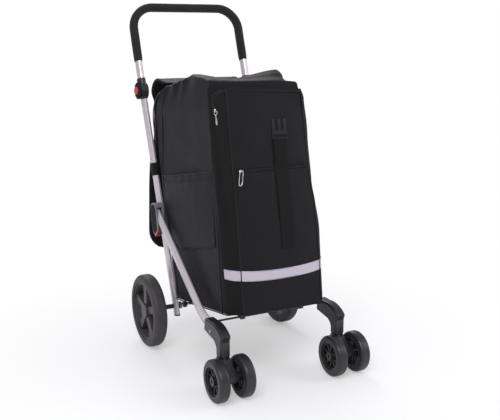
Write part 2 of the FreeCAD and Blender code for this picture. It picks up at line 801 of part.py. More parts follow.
def pocket_face(height):
    """Y of the pocket's front face at a height, and its lean from upright."""
    low, middle, high = pocket_front_points()
    lower, upper = (low, middle) if height < middle[1] else (middle, high)
    share = (height - lower[1]) / (upper[1] - lower[1])
    y = lower[0] + share * (upper[0] - lower[0])
    return y, math.degrees(math.atan2(upper[0] - lower[0], upper[1] - lower[1]))


def on_pocket(shape, x, height):
    """Place a piece drawn flat at the origin, facing -Y, on the pocket's front face."""
    y, lean = pocket_face(height)
    shape.rotate(CENTRE, ACROSS, -lean)
    shape.translate(at(x, y, height))
    return shape


def front_patch(x, height, width, tall, thickness, lift):
    """Flat rectangular piece sewn on the pocket's front face."""
    patch = Part.makeBox(width, thickness, tall, at(-width / 2, -lift - thickness, -tall / 2))
    return on_pocket(patch, x, height)


strap_bottom = 338.0
strap_top = 598.0
strap_lift = 1.4


def strap_webbing():
    """Webbing strap down the front of the pocket, sewn at its lower end."""
    middle_y, middle_z = pocket_front_points()[1]
    low_y = pocket_face(strap_bottom)[0]
    high_y = pocket_face(strap_top)[0]
    near = strap_lift
    far = strap_lift + strap_thickness
    outline = [(low_y - near, strap_bottom), (middle_y - near, middle_z), (high_y - near, strap_top),
               (high_y - far, strap_top), (middle_y - far, middle_z), (low_y - far, strap_bottom)]
    band = side_profile(outline, strap_offset - strap_width / 2, strap_offset + strap_width / 2)
    sewn = front_patch(strap_offset, strap_bottom + 20, strap_width, 36, strap_lift - 0.1 + 0.3, 0.1)
    return band.fuse(sewn)


def buckle():
    """Male half of a side-release buckle: a slotted frame and three upright prongs."""
    frame = Part.makeBox(42, 6, 22, at(-21, -7.5, 0))
    slot = Part.makeBox(39, 8, 7, at(-19.5, -8.5, 3))
    prongs = []
    for x in (-16.0, 0.0, 16.0):
        prongs.append(Part.makeBox(8, 5, 28, at(x - 4, -7, 20)))
    piece = frame.cut(slot).multiFuse(prongs)
    return on_pocket(piece, strap_offset + 2, strap_top + soft_gap)


def lower_zip():
    """Zip tape and teeth across the front pocket."""
    return front_patch(0, lower_zip_height, 2 * lower_zip_half_width, zip_tape, 0.8, 0.1)


def lower_zip_slider():
    """Slider with its hanging puller at the zip's left end."""
    body = Part.makeBox(8, 4.0, 12, at(-4, -5.3, -6))
    puller = Part.makeBox(11, 1.6, 30, at(-5.5, -7.1, -33))
    window = Part.makeBox(5, 4, 5, at(-2.5, -9, -31))
    piece = body.fuse(puller.cut(window))
    return on_pocket(piece, -82.0, lower_zip_height)


def reflective_stripe():
    """Reflective tape across the front pocket."""
    return front_patch(0, stripe_middle_height, 2 * pocket_half_width - 2, stripe_height, 0.6, 0.1)


def gusset_point(share_out, height):
    """Point on the front pocket's left slanted side."""
    front_y, _ = pocket_face(height)
    depth = pocket_depths[2] + 6
    return at(-pocket_half_width - share_out * 22, front_y + share_out * depth * 0.6, height)


def upper_zip():
    """Short U of zip tape on the pocket's left slanted side."""
    points = [gusset_point(0.0, 704), gusset_point(0.7, 700), gusset_point(0.7, 672)]
    points = [point + at(0, -3.2, 0) for point in points]
    return swept_round(points, [10.0], 4.0)


def upper_zip_puller():
    """Ring and rod that hang from the upper zip's end."""
    top = gusset_point(0.7, 665.2) + at(0, -4.4, 0)
    loop = Part.makeTorus(5.0, 1.4, top, REARWARD)
    rod = round_rod(top + at(0, 0, -5.0), top + at(0, -3, -32), 4.0)
    return loop.fuse(rod)


def side_pocket():
    """Patch pocket low on the bag's right side, open along its upper hem."""
    outline = [(-2, 466), (-300, 505), (-318, 350), (-120, 312), (-40, 345), (-8, 400)]
    outer_face = side_pocket_face
    slab = side_profile(outline, bag_bottom_half_width, outer_face)
    room_outline = [(-8, 480), (-293, 520), (-310, 357), (-120, 319), (-46, 351), (-14, 404)]
    room = side_profile(room_outline, bag_bottom_half_width - 1, outer_face - side_pocket_wall)
    body = Part.makeLoft([rounded_section(level, -soft_gap, 0) for level in bag_levels], True, True)
    return slab.cut(room).cut(body)


def lid_flap():
    """Padded lid sewn to the bag's rear rim and hanging down behind the frame tubes."""
    rim_z = level_height(bag_levels[2], bag_levels[2][2])
    start_y = bag_levels[2][2] - bag_wall
    top = rim_z + soft_gap + lid_thickness / 2
    points = [at(0, start_y, top), at(0, 128, top + 10), at(0, 166, top - 20), at(0, 180, lid_bottom_height)]
    path = rounded_path(points, [40.0, 30.0])
    profile = Part.makePolygon([at(-lid_half_width, start_y, top - lid_thickness / 2),
                                at(lid_half_width, start_y, top - lid_thickness / 2),
                                at(lid_half_width, start_y, top + lid_thickness / 2),
                                at(-lid_half_width, start_y, top + lid_thickness / 2),
                                at(-lid_half_width, start_y, top - lid_thickness / 2)])
    flap = path.makePipeShell([profile], True, False)
    return flap


knot_radius = 4.0
knot_point = at(-141.0, 92.0, 585.0)

# Routes of the drawcord: its two ends from the eyelets in the rim to the knot, and the tail below.
cord_a_route = [at(-130, 58.5, 696), at(-134, 76, 690), at(-141, 92, 660), at(-144, 97, 625),
                at(-142.8, 93, 589.8)]
cord_b_route = [at(-112, 58.5, 696), at(-118, 72, 686), at(-130, 84, 656), at(-137, 90, 625),
                at(-139.2, 91.5, 589.8)]
cord_tail_route = [at(-141.2, 91.8, 580.2), at(-141, 87, 560), at(-144, 86, 540), at(-143, 80, 520)]


def cord(route):
    """Limp drawcord along its route."""
    return swept_round(route, limp_radii(route), cord_diameter)


def cord_knot():
    """Knot that holds the two drawcord ends together."""
    return Part.makeSphere(knot_radius, knot_point)


# ---------------------------------------------------------------- wire base

def base_wire_height(y):
    """Height of the base wires' centre line."""
    below = (base_wire_diameter / 2 + soft_gap) / math.cos(math.radians(base_slope))
    return level_height(bag_levels[0], y) - below


def wire_base():
    """Welded wire platform: rails with eyes on the axle, cross bars and two hooks in front."""
    pieces = []
    for index in range(base_rail_count):
        x = -base_half_width + index * 2 * base_half_width / (base_rail_count - 1)
        rail = [at(x, 0, axle_height + eye_diameter / 2 - 2), at(x, -22, base_wire_height(-22)),
                at(x, -base_front_reach, base_wire_height(-base_front_reach))]
        pieces.append(swept_round(rail, [12.0], base_wire_diameter))
        pieces.append(Part.makeCylinder(eye_diameter / 2, eye_width,
                                        at(x - eye_width / 2, 0, axle_height), ACROSS))
    for index in range(base_bar_count):
        y = -34 - index * (base_front_reach - 36.5) / (base_bar_count - 1)
        start = at(-base_half_width, y, base_wire_height(y))
        end = at(base_half_width, y, base_wire_height(y))
        pieces.append(round_rod(start, end, base_wire_diameter))
    hook_top = base_wire_height(-cross_wire_reach) + 0.8
    slot_half = cross_wire_diameter / 2 + 1.6
    for side in (-1, 1):
        x = side * hook_offset
        hook_foot = cross_wire_height - cross_wire_diameter / 2 - 2
        hook = Part.makeBox(hook_width, 2 * slot_half + 6, hook_top - hook_foot,
                            at(x - hook_width / 2, -cross_wire_reach - slot_half - 3, hook_foot))
        slot_top = cross_wire_height + cross_wire_diameter / 2 + soft_gap
        slot = Part.makeBox(hook_width + 2, 2 * slot_half, slot_top - hook_foot + 1,
                            at(x - hook_width / 2 - 1, -cross_wire_reach - slot_half, hook_foot - 1))
        brace_height = base_wire_height(-cross_wire_reach)
        brace = round_rod(at(side * (hook_offset - 20), -cross_wire_reach, brace_height),
                          at(side * base_half_width, -cross_wire_reach, brace_height), base_wire_diameter)
        pieces.append(hook.cut(slot))
        pieces.append(brace)
    frame = pieces[0].multiFuse(pieces[1:])
    bore = round_rod(at(-200, 0, axle_height), at(200, 0, axle_height), axle_diameter + 2 * running_clearance)
    return frame.cut(bore)


# ---------------------------------------------------------------- output

def pair(nodes, name, shape):
    """Add a piece of the right side and its mirror image on the left."""
    nodes[name + "_right"] = shape
    nodes[name + "_left"] = mirrored(shape)


def build_nodes():
    """Every node of the trolley by name."""
    nodes = {}
    pair(nodes, "main_tube", main_tube())
    nodes["tube_end_plugs"] = both_sides(tube_end_plug())
    nodes["rear_axle"] = rear_axle()
    nodes["axle_sleeves"] = both_sides(axle_sleeve())
    nodes["base_clamps"] = both_sides(base_clamp())
    pair(nodes, "latch_housing", latch_housing())
    nodes["latch_covers"] = both_sides(latch_cover())
    nodes["fold_pins"] = both_sides(fold_pin())
    pair(nodes, "latch_tab", latch_tab())
    nodes["rear_cross_tube"] = rear_cross_tube()
    nodes["frame_rivets"] = frame_rivets()
    nodes["tube_bands"] = both_sides(tube_band())
    pair(nodes, "knuckle_base", knuckle_base())
    pair(nodes, "knuckle_top", knuckle_top())
    nodes["knuckle_covers"] = both_sides(knuckle_cover())
    pair(nodes, "push_button", push_button())
    nodes["handle_tube"] = handle_tube()
    nodes["foam_grip"] = foam_grip()
    pair(nodes, "front_leg", front_leg())
    pair(nodes, "caster_arm", caster_arm())
    nodes["front_cross_wire"] = front_cross_wire()
    nodes["front_rivets"] = front_rivets()
    pair(nodes, "caster_hub", caster_hub())
    pair(nodes, "caster_axle", caster_axle())
    pair(nodes, "caster_wheel_outer", caster_wheel(caster_wheel_spacing / 2))
    pair(nodes, "caster_wheel_inner", caster_wheel(-caster_wheel_spacing / 2))
    pair(nodes, "rear_tyre", rear_tyre())
    pair(nodes, "rear_rim", rear_rim())
    nodes["wire_base"] = wire_base()
    nodes["bag_base_board"] = bag_base_board()
    nodes["bag_shell"] = bag_shell()
    nodes["front_pocket"] = front_pocket()
    pair(nodes, "side_pocket", side_pocket())
    nodes["strap_webbing"] = strap_webbing()
    nodes["buckle"] = buckle()
    nodes["lower_zip"] = lower_zip()
    nodes["lower_zip_slider"] = lower_zip_slider()
    nodes["upper_zip"] = upper_zip()
    nodes["upper_zip_puller"] = upper_zip_puller()
    nodes["reflective_stripe"] = reflective_stripe()
    nodes["lid_flap"] = lid_flap()
    nodes["drawcord_a"] = cord(cord_a_route)
    nodes["drawcord_b"] = cord(cord_b_route)
    nodes["drawcord_tail"] = cord(cord_tail_route)
    nodes["cord_knot"] = cord_knot()
    return nodes


def centre_offset():
    """How far the axle lies behind the middle of the trolley's overall depth."""
    grip_half_depth = handle_tube_depth / 2 + grip_wall
    grip_half_width = handle_tube_width / 2 + grip_wall
    lean = math.radians(handle_lean)
    rear = (handle_point(handle_rise, 0).y
            + math.hypot(grip_half_depth * math.cos(lean), grip_half_width * math.sin(lean)))
    front = wheelbase + caster_lead + caster_wheel_diameter / 2
    return (front - rear) / 2


os.makedirs("parts", exist_ok=True)
for node_name, node_shape in build_nodes().items():
    node_shape.translate(at(0, centre_offset(), 0))
    node_shape.exportStep("parts/" + node_name + ".step")
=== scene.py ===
"""Looks of a folding shopping trolley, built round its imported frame.

The hard pieces keep the frame's shape and get their finish here. The bag, its pockets and
lid, the strap, zips and stripe, the drawcord and the foam grip are modelled as cloth,
webbing, cord and foam in the places that the frame holds for them.
"""

import logging
import math
from dataclasses import dataclass, field
from enum import Enum
from typing import Callable, Sequence

import bmesh
import bpy
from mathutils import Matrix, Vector, noise


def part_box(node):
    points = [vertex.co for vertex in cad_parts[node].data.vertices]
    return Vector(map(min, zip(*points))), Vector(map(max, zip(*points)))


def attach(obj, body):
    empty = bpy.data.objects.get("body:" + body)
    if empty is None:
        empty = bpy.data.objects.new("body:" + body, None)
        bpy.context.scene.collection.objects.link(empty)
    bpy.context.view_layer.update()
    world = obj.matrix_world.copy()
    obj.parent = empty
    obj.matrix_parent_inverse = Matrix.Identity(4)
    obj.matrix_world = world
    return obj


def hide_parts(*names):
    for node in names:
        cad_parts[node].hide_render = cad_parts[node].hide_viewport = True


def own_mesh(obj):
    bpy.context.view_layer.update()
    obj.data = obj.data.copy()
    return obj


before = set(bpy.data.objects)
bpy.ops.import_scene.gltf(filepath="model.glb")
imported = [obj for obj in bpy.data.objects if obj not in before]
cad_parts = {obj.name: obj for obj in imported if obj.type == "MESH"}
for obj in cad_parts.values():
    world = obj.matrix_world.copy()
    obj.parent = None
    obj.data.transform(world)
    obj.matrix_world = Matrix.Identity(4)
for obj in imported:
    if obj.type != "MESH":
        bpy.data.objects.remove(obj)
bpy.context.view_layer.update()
LOG = logging.getLogger("trolley")

Colour = tuple[float, float, float]
Rows = list[list[Vector]]
Ring = list[tuple[Vector, Vector, float]]
Table = tuple[tuple[float, float], ...]
Route = tuple[tuple[float, float, float], ...]
Socket = bpy.types.NodeSocket
Material = bpy.types.Material
Piece = bpy.types.Object
Build = bmesh.types.BMesh


def axle_y() -> float:
    """Distance of the rear axle behind the frame's origin, in metres."""
    low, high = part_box("rear_axle")
    return (low.y + high.y) / 2


AXLE_Y = axle_y()


def spot(x: float, y: float, z: float) -> Vector:
    """A point in metres from millimetres, with y counted back from the rear axle."""
    return Vector((x / 1000, y / 1000 + AXLE_Y, z / 1000))


def ease(low: float, high: float, value: float) -> float:
    """Smooth step from 0 at low to 1 at high."""
    share = min(max((value - low) / (high - low), 0.0), 1.0)
    return share * share * (3 - 2 * share)


def spread(low: float, high: float, count: int) -> list[float]:
    """Evenly spaced values from low to high, with count steps."""
    return [low + (high - low) * index / count for index in range(count + 1)]


def along_table(table: Table, value: float) -> float:
    """Smoothly interpolated value of a table of (place, value) pairs.

    Args:
        table: Pairs in rising order of place.
        value: The place to read.

    Returns:
        The value at that place, held level beyond the table's ends.
    """
    if value <= table[0][0]:
        return table[0][1]
    for (start, first), (end, second) in zip(table, table[1:]):
        if value <= end:
            return first + (second - first) * ease(start, end, value)
    return table[-1][1]


# ------------------------------------------------------------------ finishes


class Graph:
    """Shader nodes of one material, added and joined by short calls."""

    def __init__(self, name: str) -> None:
        """Start a material with a Principled shader.

        Args:
            name: The material's name.
        """
        self.material = bpy.data.materials.new(name)
        self.material.use_nodes = True
        self.tree = self.material.node_tree
        self.tree.nodes.clear()
        self.shader = self.add("ShaderNodeBsdfPrincipled")
        output = self.add("ShaderNodeOutputMaterial")
        self.tree.links.new(self.shader.outputs[0], output.inputs[0])
        self.place = self.add("ShaderNodeTexCoord").outputs["Object"]

    def add(self, kind: str, **settings: object) -> bpy.types.Node:
        """Add a node and set its properties.

        Args:
            kind: The node's type name.
            **settings: Properties of the node.

        Returns:
            The new node.
        """
        node = self.tree.nodes.new(kind)
        for key, value in settings.items():
            setattr(node, key, value)
        return node

    def feed(self, node: bpy.types.Node, inputs: dict[str | int, object]) -> bpy.types.Node:
        """Set a node's inputs from sockets or values.

        Args:
            node: The node to feed.
            inputs: Input name or number to a socket or a value.

        Returns:
            The same node.
        """
        for key, value in inputs.items():
            if isinstance(value, Socket):
                self.tree.links.new(value, node.inputs[key])
            else:
                node.inputs[key].default_value = value
        return node

    def stretched(self, scale: Colour) -> Socket:
        """Object coordinates scaled differently along the three axes."""
        node = self.add("ShaderNodeMapping")
        return self.feed(node, {"Vector": self.place, "Scale": scale}).outputs[0]

    def grain(self, scale: float, detail: float = 2.0, rough: float = 0.5,
              vector: Socket | None = None) -> Socket:
        """Noise texture in object coordinates.

        Args:
            scale: Cells per metre.
            detail: Octaves of finer noise.
            rough: Share of the finer octaves.
            vector: Coordinates, or None for plain object coordinates.

        Returns:
            The noise's factor.
        """
        node = self.add("ShaderNodeTexNoise")
        vector = vector or self.place
        self.feed(node, {"Vector": vector, "Scale": scale, "Detail": detail, "Roughness": rough})
        return node.outputs["Fac"]

    def ribs(self, direction: str, scale: float, distortion: float = 0.0) -> Socket:
        """Parallel bands across one direction.

        Args:
            direction: X, Y, Z or DIAGONAL.
            scale: The wave texture's scale.
            distortion: How much the bands wander.

        Returns:
            The bands' factor.
        """
        node = self.add("ShaderNodeTexWave", wave_type="BANDS", bands_direction=direction)
        self.feed(node, {"Vector": self.place, "Scale": scale, "Distortion": distortion, "Detail": 1.0})
        return node.outputs["Fac"]

    def cells(self, scale: float) -> Socket:
        """Distance to the nearest cell centre of a Voronoi texture."""
        node = self.add("ShaderNodeTexVoronoi")
        return self.feed(node, {"Vector": self.place, "Scale": scale}).outputs["Distance"]

    def ramp(self, factor: Socket, low: float, high: float) -> Socket:
        """A factor spread so that low becomes 0 and high becomes 1."""
        node = self.add("ShaderNodeMapRange")
        self.feed(node, {"Value": factor, "From Min": low, "From Max": high})
        return node.outputs[0]

    def mathematics(self, operation: str, first: object, second: object) -> Socket:
        """Result of a Math node."""
        node = self.add("ShaderNodeMath", operation=operation)
        return self.feed(node, {0: first, 1: second}).outputs[0]

    def scaled(self, factor: Socket, gain: float, base: float) -> Socket:
        """A factor times a gain, plus a base."""
        return self.mathematics("ADD", self.mathematics("MULTIPLY", factor, gain), base)

    def blend(self, factor: object, first: object, second: object) -> Socket:
        """Colour between two colours or colour sockets.

        Args:
            factor: Share of the second colour.
            first: Colour or socket.
            second: Colour or socket.

        Returns:
            The mixed colour.
        """
        node = self.add("ShaderNodeMix", data_type="RGBA")
        sockets = {"Factor_Float": factor, "A_Color": first, "B_Color": second}
        for socket in node.inputs:
            if socket.identifier in sockets:
                value = sockets[socket.identifier]
                if isinstance(value, Socket):
                    self.tree.links.new(value, socket)
                elif isinstance(value, tuple):
                    socket.default_value = (*value, 1.0)
                else:
                    socket.default_value = value
        return next(s for s in node.outputs if s.identifier == "Result_Color")

    def relief(self, height: Socket, strength: float, depth: float,
               under: Socket | None = None) -> Socket:
        """Bump from a height.

        Args:
            height: Factor used as height.
            strength: Share of the bump that shows.
            depth: Depth in metres of a full step.
            under: Normal that the bump is laid over.

        Returns:
            The bumped normal.
        """
        node = self.add("ShaderNodeBump")
        self.feed(node, {"Height": height, "Strength": strength, "Distance": depth})
        if under is not None:
            self.feed(node, {"Normal": under})
        return node.outputs[0]

    def finish(self, colour: object, rough: object, normal: Socket | None = None,
               **sockets: object) -> Material:
        """Join colour, roughness and normal to the shader.

        Args:
            colour: Base colour socket or value.
            rough: Roughness socket or value.
            normal: Bumped normal, if any.
            **sockets: More of the shader's own sockets, with spaces as underscores.

        Returns:
            The finished material.
        """
        if isinstance(colour, tuple):
            colour = (*colour, 1.0)
        self.feed(self.shader, {"Base Color": colour, "Roughness": rough})
        if normal is not None:
            self.feed(self.shader, {"Normal": normal})
        self.feed(self.shader, {key.replace("_", " "): value for key, value in sockets.items()})
        return self.material


@dataclass(frozen=True)
class SilverTube:
    """Silver sprayed tube with fine flakes and faint handling marks."""

    name: str = "silver_tube"
    colour: Colour = (0.66, 0.61, 0.635)
    dull: Colour = (0.56, 0.52, 0.54)

    def material(self) -> Material:
        """Build the material."""
        graph = Graph(self.name)
        flakes = graph.cells(2600.0)
        clouds = graph.grain(14.0, 4.0, 0.6)
        marks = graph.ramp(graph.grain(90.0, 6.0, 0.75, graph.stretched((3.0, 3.0, 0.35))), 0.62, 0.74)
        colour = graph.blend(graph.ramp(clouds, 0.3, 0.8), self.colour, self.dull)
        colour = graph.blend(graph.mathematics("MULTIPLY", marks, 0.25), colour, (0.42, 0.40, 0.41))
        rough = graph.scaled(clouds, 0.16, 0.26)
        normal = graph.relief(flakes, 0.12, 0.0002)
        return graph.finish(colour, rough, normal, Metallic=0.55, Coat_Weight=0.15, Coat_Roughness=0.2)


@dataclass(frozen=True)
class Steel:
    """Drawn steel with fine lengthwise lines."""

    name: str = "steel"
    colour: Colour = (0.60, 0.59, 0.60)
    rough: float = 0.3

    def material(self) -> Material:
        """Build the material."""
        graph = Graph(self.name)
        lines = graph.grain(400.0, 3.0, 0.6, graph.stretched((0.1, 1.0, 1.0)))
        stain = graph.ramp(graph.grain(60.0, 3.0), 0.45, 0.8)
        colour = graph.blend(stain, self.colour, (0.38, 0.37, 0.37))
        rough = graph.scaled(lines, 0.2, self.rough - 0.1)
        return graph.finish(colour, rough, graph.relief(lines, 0.15, 0.0002), Metallic=1.0)


@dataclass(frozen=True)
class Moulded:
    """Moulded plastic with a fine spark grain, softened edges and rubbed patches, and painted shade in its
    hollows where asked.
    """

    name: str
    colour: Colour
    rough: float = 0.42
    grain: float = 900.0
    worn: float = 0.35
    edge: float = 0.0007
    # Strength of the painted shade: the colour is darkened where ambient occlusion finds a hollow.
    shade: float = 0.0
    gloss: float = 0.5

    def material(self) -> Material:
        """Build the material."""
        graph = Graph(self.name)
        spark = graph.grain(self.grain, 3.0, 0.7)
        clouds = graph.grain(18.0, 4.0, 0.6)
        rubbed = graph.ramp(graph.add("ShaderNodeNewGeometry").outputs["Pointiness"], 0.51, 0.60)
        pale = tuple(min(channel * 1.7 + 0.02, 1.0) for channel in self.colour)
        deep = tuple(channel * 0.78 for channel in self.colour)
        colour = graph.blend(graph.ramp(clouds, 0.3, 0.75), deep, self.colour)
        colour = graph.blend(graph.mathematics("MULTIPLY", rubbed, self.worn), colour, pale)
        # Painted shade: ambient occlusion darkens the colour towards near-black in hollows and recesses,
        # standing in for the shade that falls there.
        if self.shade:
            shade_occlusion = graph.add("ShaderNodeAmbientOcclusion", samples=6)
            graph.feed(shade_occlusion, {"Distance": 0.03})
            depth = graph.ramp(shade_occlusion.outputs["AO"], 0.75, 0.2)
            depth = graph.mathematics("MULTIPLY", depth, self.shade)
            colour = graph.blend(depth, colour, (0.004, 0.004, 0.004))
        rough = graph.scaled(clouds, 0.22, self.rough - 0.1)
        soft = graph.feed(graph.add("ShaderNodeBevel", samples=4), {"Radius": self.edge}).outputs[0]
        normal = graph.relief(spark, 0.18, 0.0003, soft)
        return graph.finish(colour, rough, normal, Specular_IOR_Level=self.gloss)


@dataclass(frozen=True)
class Foam:
    """Closed-cell foam of the hand grip, with fine pores."""

    name: str = "foam"
    colour: Colour = (0.0070, 0.0068, 0.0076)

    def material(self) -> Material:
        """Build the material."""
        graph = Graph(self.name)
        pores = graph.ramp(graph.cells(900.0), 0.05, 0.45)
        clouds = graph.grain(25.0, 4.0, 0.6)
        colour = graph.blend(graph.ramp(clouds, 0.3, 0.75), self.colour, (0.0140, 0.0138, 0.0150))
        normal = graph.relief(pores, 0.35, 0.0006, graph.relief(clouds, 0.3, 0.003))
        return graph.finish(colour, 0.78, normal, Sheen_Weight=0.04, Sheen_Roughness=0.6,
                            Specular_IOR_Level=0.3)


@dataclass(frozen=True)
class Rubber:
    """Wheel rubber with moulding lines round the tread and a dusty bloom."""

    name: str = "tyre"
    colour: Colour = (0.034, 0.029, 0.031)
    dust: Colour = (0.058, 0.051, 0.053)

    def material(self) -> Material:
        """Build the material."""
        graph = Graph(self.name)
        clouds = graph.grain(22.0, 5.0, 0.65)
        speck = graph.grain(700.0, 3.0, 0.7)
        colour = graph.blend(graph.ramp(clouds, 0.48, 0.85), self.colour, self.dust)
        normal = graph.relief(speck, 0.3, 0.0004, graph.relief(graph.ribs("X", 90.0), 0.12, 0.0006))
        rough = graph.scaled(clouds, 0.25, 0.45)
        return graph.finish(colour, rough, normal)


class Weave(Enum):
    """How a cloth's threads show."""

    PLAIN = 1
    RIBBED = 2
    BEADED = 3


@dataclass(frozen=True)
class Cloth:
    """Woven fabric: threads, soft colour clouds and a sheen."""

    name: str
    colour: Colour
    pale: Colour
    weave: Weave = Weave.PLAIN
    rough: float = 0.56
    sheen: float = 0.35
    gloss: float = 0.34

    def threads(self, graph: Graph) -> Socket:
        """Height of the threads.

        Args:
            graph: The material's nodes.

        Returns:
            The height as a factor.
        """
        if self.weave is Weave.RIBBED:
            across = graph.ribs("Z", 110.0, 0.4)
            along = graph.ribs("X", 260.0, 0.3)
            return graph.mathematics("ADD", across, graph.mathematics("MULTIPLY", along, 0.4))
        if self.weave is Weave.BEADED:
            return graph.cells(1300.0)
        first = graph.ribs("X", 330.0, 0.6)
        second = graph.ribs("Z", 330.0, 0.6)
        third = graph.ribs("Y", 330.0, 0.6)
        return graph.mathematics("ADD", graph.mathematics("MAXIMUM", first, third), second)

    def material(self) -> Material:
        """Build the material."""
        graph = Graph(self.name)
        threads = self.threads(graph)
        clouds = graph.grain(7.0, 5.0, 0.6)
        slub = graph.grain(160.0, 3.0, 0.6, graph.stretched((0.3, 0.3, 2.0)))
        colour = graph.blend(graph.ramp(clouds, 0.32, 0.72), self.colour, self.pale)
        deep = tuple(channel * 0.7 for channel in self.colour)
        raised = graph.mathematics("MULTIPLY", graph.ramp(threads, 0.0, 1.4), 0.5)
        colour = graph.blend(raised, deep, colour)
        crumple = graph.grain(26.0, 4.0, 0.55)
        normal = graph.relief(crumple, 0.22, 0.004)
        normal = graph.relief(slub, 0.15, 0.0006, normal)
        normal = graph.relief(threads, 0.22, 0.0004, normal)
        rough = graph.scaled(clouds, 0.2, self.rough - 0.1)
        return graph.finish(colour, rough, normal, Sheen_Weight=self.sheen, Sheen_Roughness=0.45,
                            Specular_IOR_Level=self.gloss)


@dataclass(frozen=True)
class Braid:
    """Braided cord: crossing diagonal strands."""

    name: str = "cord"
    colour: Colour = (0.008, 0.008, 0.009)

    def material(self) -> Material:
        """Build the material."""
        graph = Graph(self.name)
        node = graph.add("ShaderNodeTexWave", wave_type="BANDS", bands_direction="DIAGONAL")
        graph.feed(node, {"Vector": graph.place, "Scale": 240.0})
        other = graph.add("ShaderNodeTexWave", wave_type="BANDS", bands_direction="DIAGONAL")
        graph.feed(other, {"Vector": graph.stretched((-1.0, -1.0, 1.0)), "Scale": 240.0})
        strands = graph.mathematics("MAXIMUM", node.outputs["Fac"], other.outputs["Fac"])
        colour = graph.blend(strands, self.colour, (0.02, 0.02, 0.022))
        return graph.finish(colour, 0.7, graph.relief(strands, 0.5, 0.0005), Sheen_Weight=0.3)


class Finish(Enum):
    """Every finish on the trolley, by what it is used for."""

    TUBE = SilverTube()
    STEEL = Steel()
    WIRE = Moulded("dark_wire", (0.010, 0.010, 0.011), 0.34, 500.0, 0.2, 0.0004)
    BLACK = Moulded("knuckle_black", (0.0115, 0.0110, 0.0122), 0.34)
    GREY = Moulded("grey_plastic", (0.17, 0.16, 0.17), 0.4)
    FACE = Moulded("dark_face", (0.012, 0.0115, 0.013), 0.62, worn=0.15, gloss=0.08)
    BUCKLE = Moulded("buckle_black", (0.0050, 0.0048, 0.0055), 0.3, 700.0, 0.5, 0.0005, gloss=0.3)
    TEETH = Moulded("zip_teeth", (0.020, 0.019, 0.021), 0.3, 900.0, 0.3, 0.0002)
    RED = Moulded("red_plastic", (0.60, 0.045, 0.055), 0.3, 600.0, 0.2)
    # Painted shade: the rim and caster finishes darken their hollows, such as the rim's barrel seen through
    # its windows, where shade falls.
    RIM = Moulded("rim", (0.046, 0.040, 0.042), 0.45, shade=0.9)
    CASTER = Moulded("caster", (0.019, 0.0165, 0.0185), 0.36, shade=0.85)
    ARM = Moulded("caster_arm", (0.017, 0.0155, 0.0168), 0.3)
    BOARD = Moulded("board", (0.02, 0.02, 0.022), 0.6)
    FOAM = Foam()
    RUBBER = Rubber()
    CLOTH = Cloth("bag_cloth", (0.0076, 0.0065, 0.0086), (0.0130, 0.0114, 0.0145), sheen=0.03, gloss=0.15)
    BAND = Cloth("bag_band", (0.0036, 0.0034, 0.0039), (0.0060, 0.0057, 0.0064), rough=0.72,
                 sheen=0.02, gloss=0.2)
    LINING = Cloth("bag_lining", (0.007, 0.007, 0.0075), (0.012, 0.012, 0.013), rough=0.6, sheen=0.03)
    WEBBING = Cloth("webbing", (0.0026, 0.0025, 0.0029), (0.0052, 0.0050, 0.0056), Weave.RIBBED, 0.7,
                    0.02, 0.2)
    PIPING = Cloth("piping", (0.0030, 0.0030, 0.0032), (0.006, 0.006, 0.0065), Weave.RIBBED, 0.6, 0.03)
    STRIPE = Cloth("stripe", (0.60, 0.555, 0.64), (0.70, 0.66, 0.74), Weave.BEADED, 0.42, 0.1)
    THREAD = Cloth("thread", (0.010, 0.010, 0.011), (0.018, 0.018, 0.019), Weave.RIBBED, 0.6, 0.05)
    PULLER = Steel("zip_metal", (0.62, 0.61, 0.63), 0.25)
    CORD = Braid()

    def made(self) -> Material:
        """The finish's material, built once."""
        found = bpy.data.materials.get(self.value.name + "_look")
        if found is None:
            found = self.value.material()
            found.name = self.value.name + "_look"
        return found


def dress(piece: Piece, finish: Finish) -> Piece:
    """Give a whole piece one finish.

    Args:
        piece: The object to dress.
        finish: Its finish.

    Returns:
        The same object.
    """
    piece.data.materials.clear()
    piece.data.materials.append(finish.made())
    return piece


def hang(piece: Piece, body: str, slot: str, *nodes: str) -> Piece:
    """Let a piece ride on a body and stand for frame nodes.

    Args:
        piece: The finished piece.
        body: Name of the body that carries it.
        slot: Not used.
        *nodes: Frame nodes that it stands for.

    Returns:
        The same piece.
    """
    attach(piece, body)
    if nodes:
        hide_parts(*nodes)
    return piece


# ------------------------------------------------------------------ meshes


def smooth(mesh: bpy.types.Mesh) -> None:
    """Shade every face smoothly."""
    mesh.polygons.foreach_set("use_smooth", [True] * len(mesh.polygons))


def from_bmesh(name: str, built: Build) -> Piece:
    """Object from a bmesh, which is freed.

    Args:
        name: The object's name.
        built: The mesh data.

    Returns:
        The object, linked to the scene and smoothly shaded.
    """
    bmesh.ops.recalc_face_normals(built, faces=built.faces)
    mesh = bpy.data.meshes.new(name)
    built.to_mesh(mesh)
    built.free()
    smooth(mesh)
    piece = bpy.data.objects.new(name, mesh)
    bpy.context.scene.collection.objects.link(piece)
    return piece


def add_rows(built: Build, rows: Rows, closed: bool, capped: bool = False) -> None:
    """Add a skin of quads over rows of points.

    Args:
        built: The mesh to add to.
        rows: Rows with the same number of points.
        closed: Whether each row joins its own end.
        capped: Whether the first and last rows get a face.
    """
    made = [[built.verts.new(point) for point in row] for row in rows]
    count = len(rows[0])
    for low, high in zip(made, made[1:]):
        for index in range(count if closed else count - 1):
            after = (index + 1) % count
            built.faces.new((low[index], low[after], high[after], high[index]))
    if capped:
        built.faces.new(made[0])
        built.faces.new(made[-1])


def skin(name: str, rows: Rows, closed: bool, capped: bool = False) -> Piece:
    """Object made of one skin of rows."""
    built = bmesh.new()
    add_rows(built, rows, closed, capped)
    return from_bmesh(name, built)


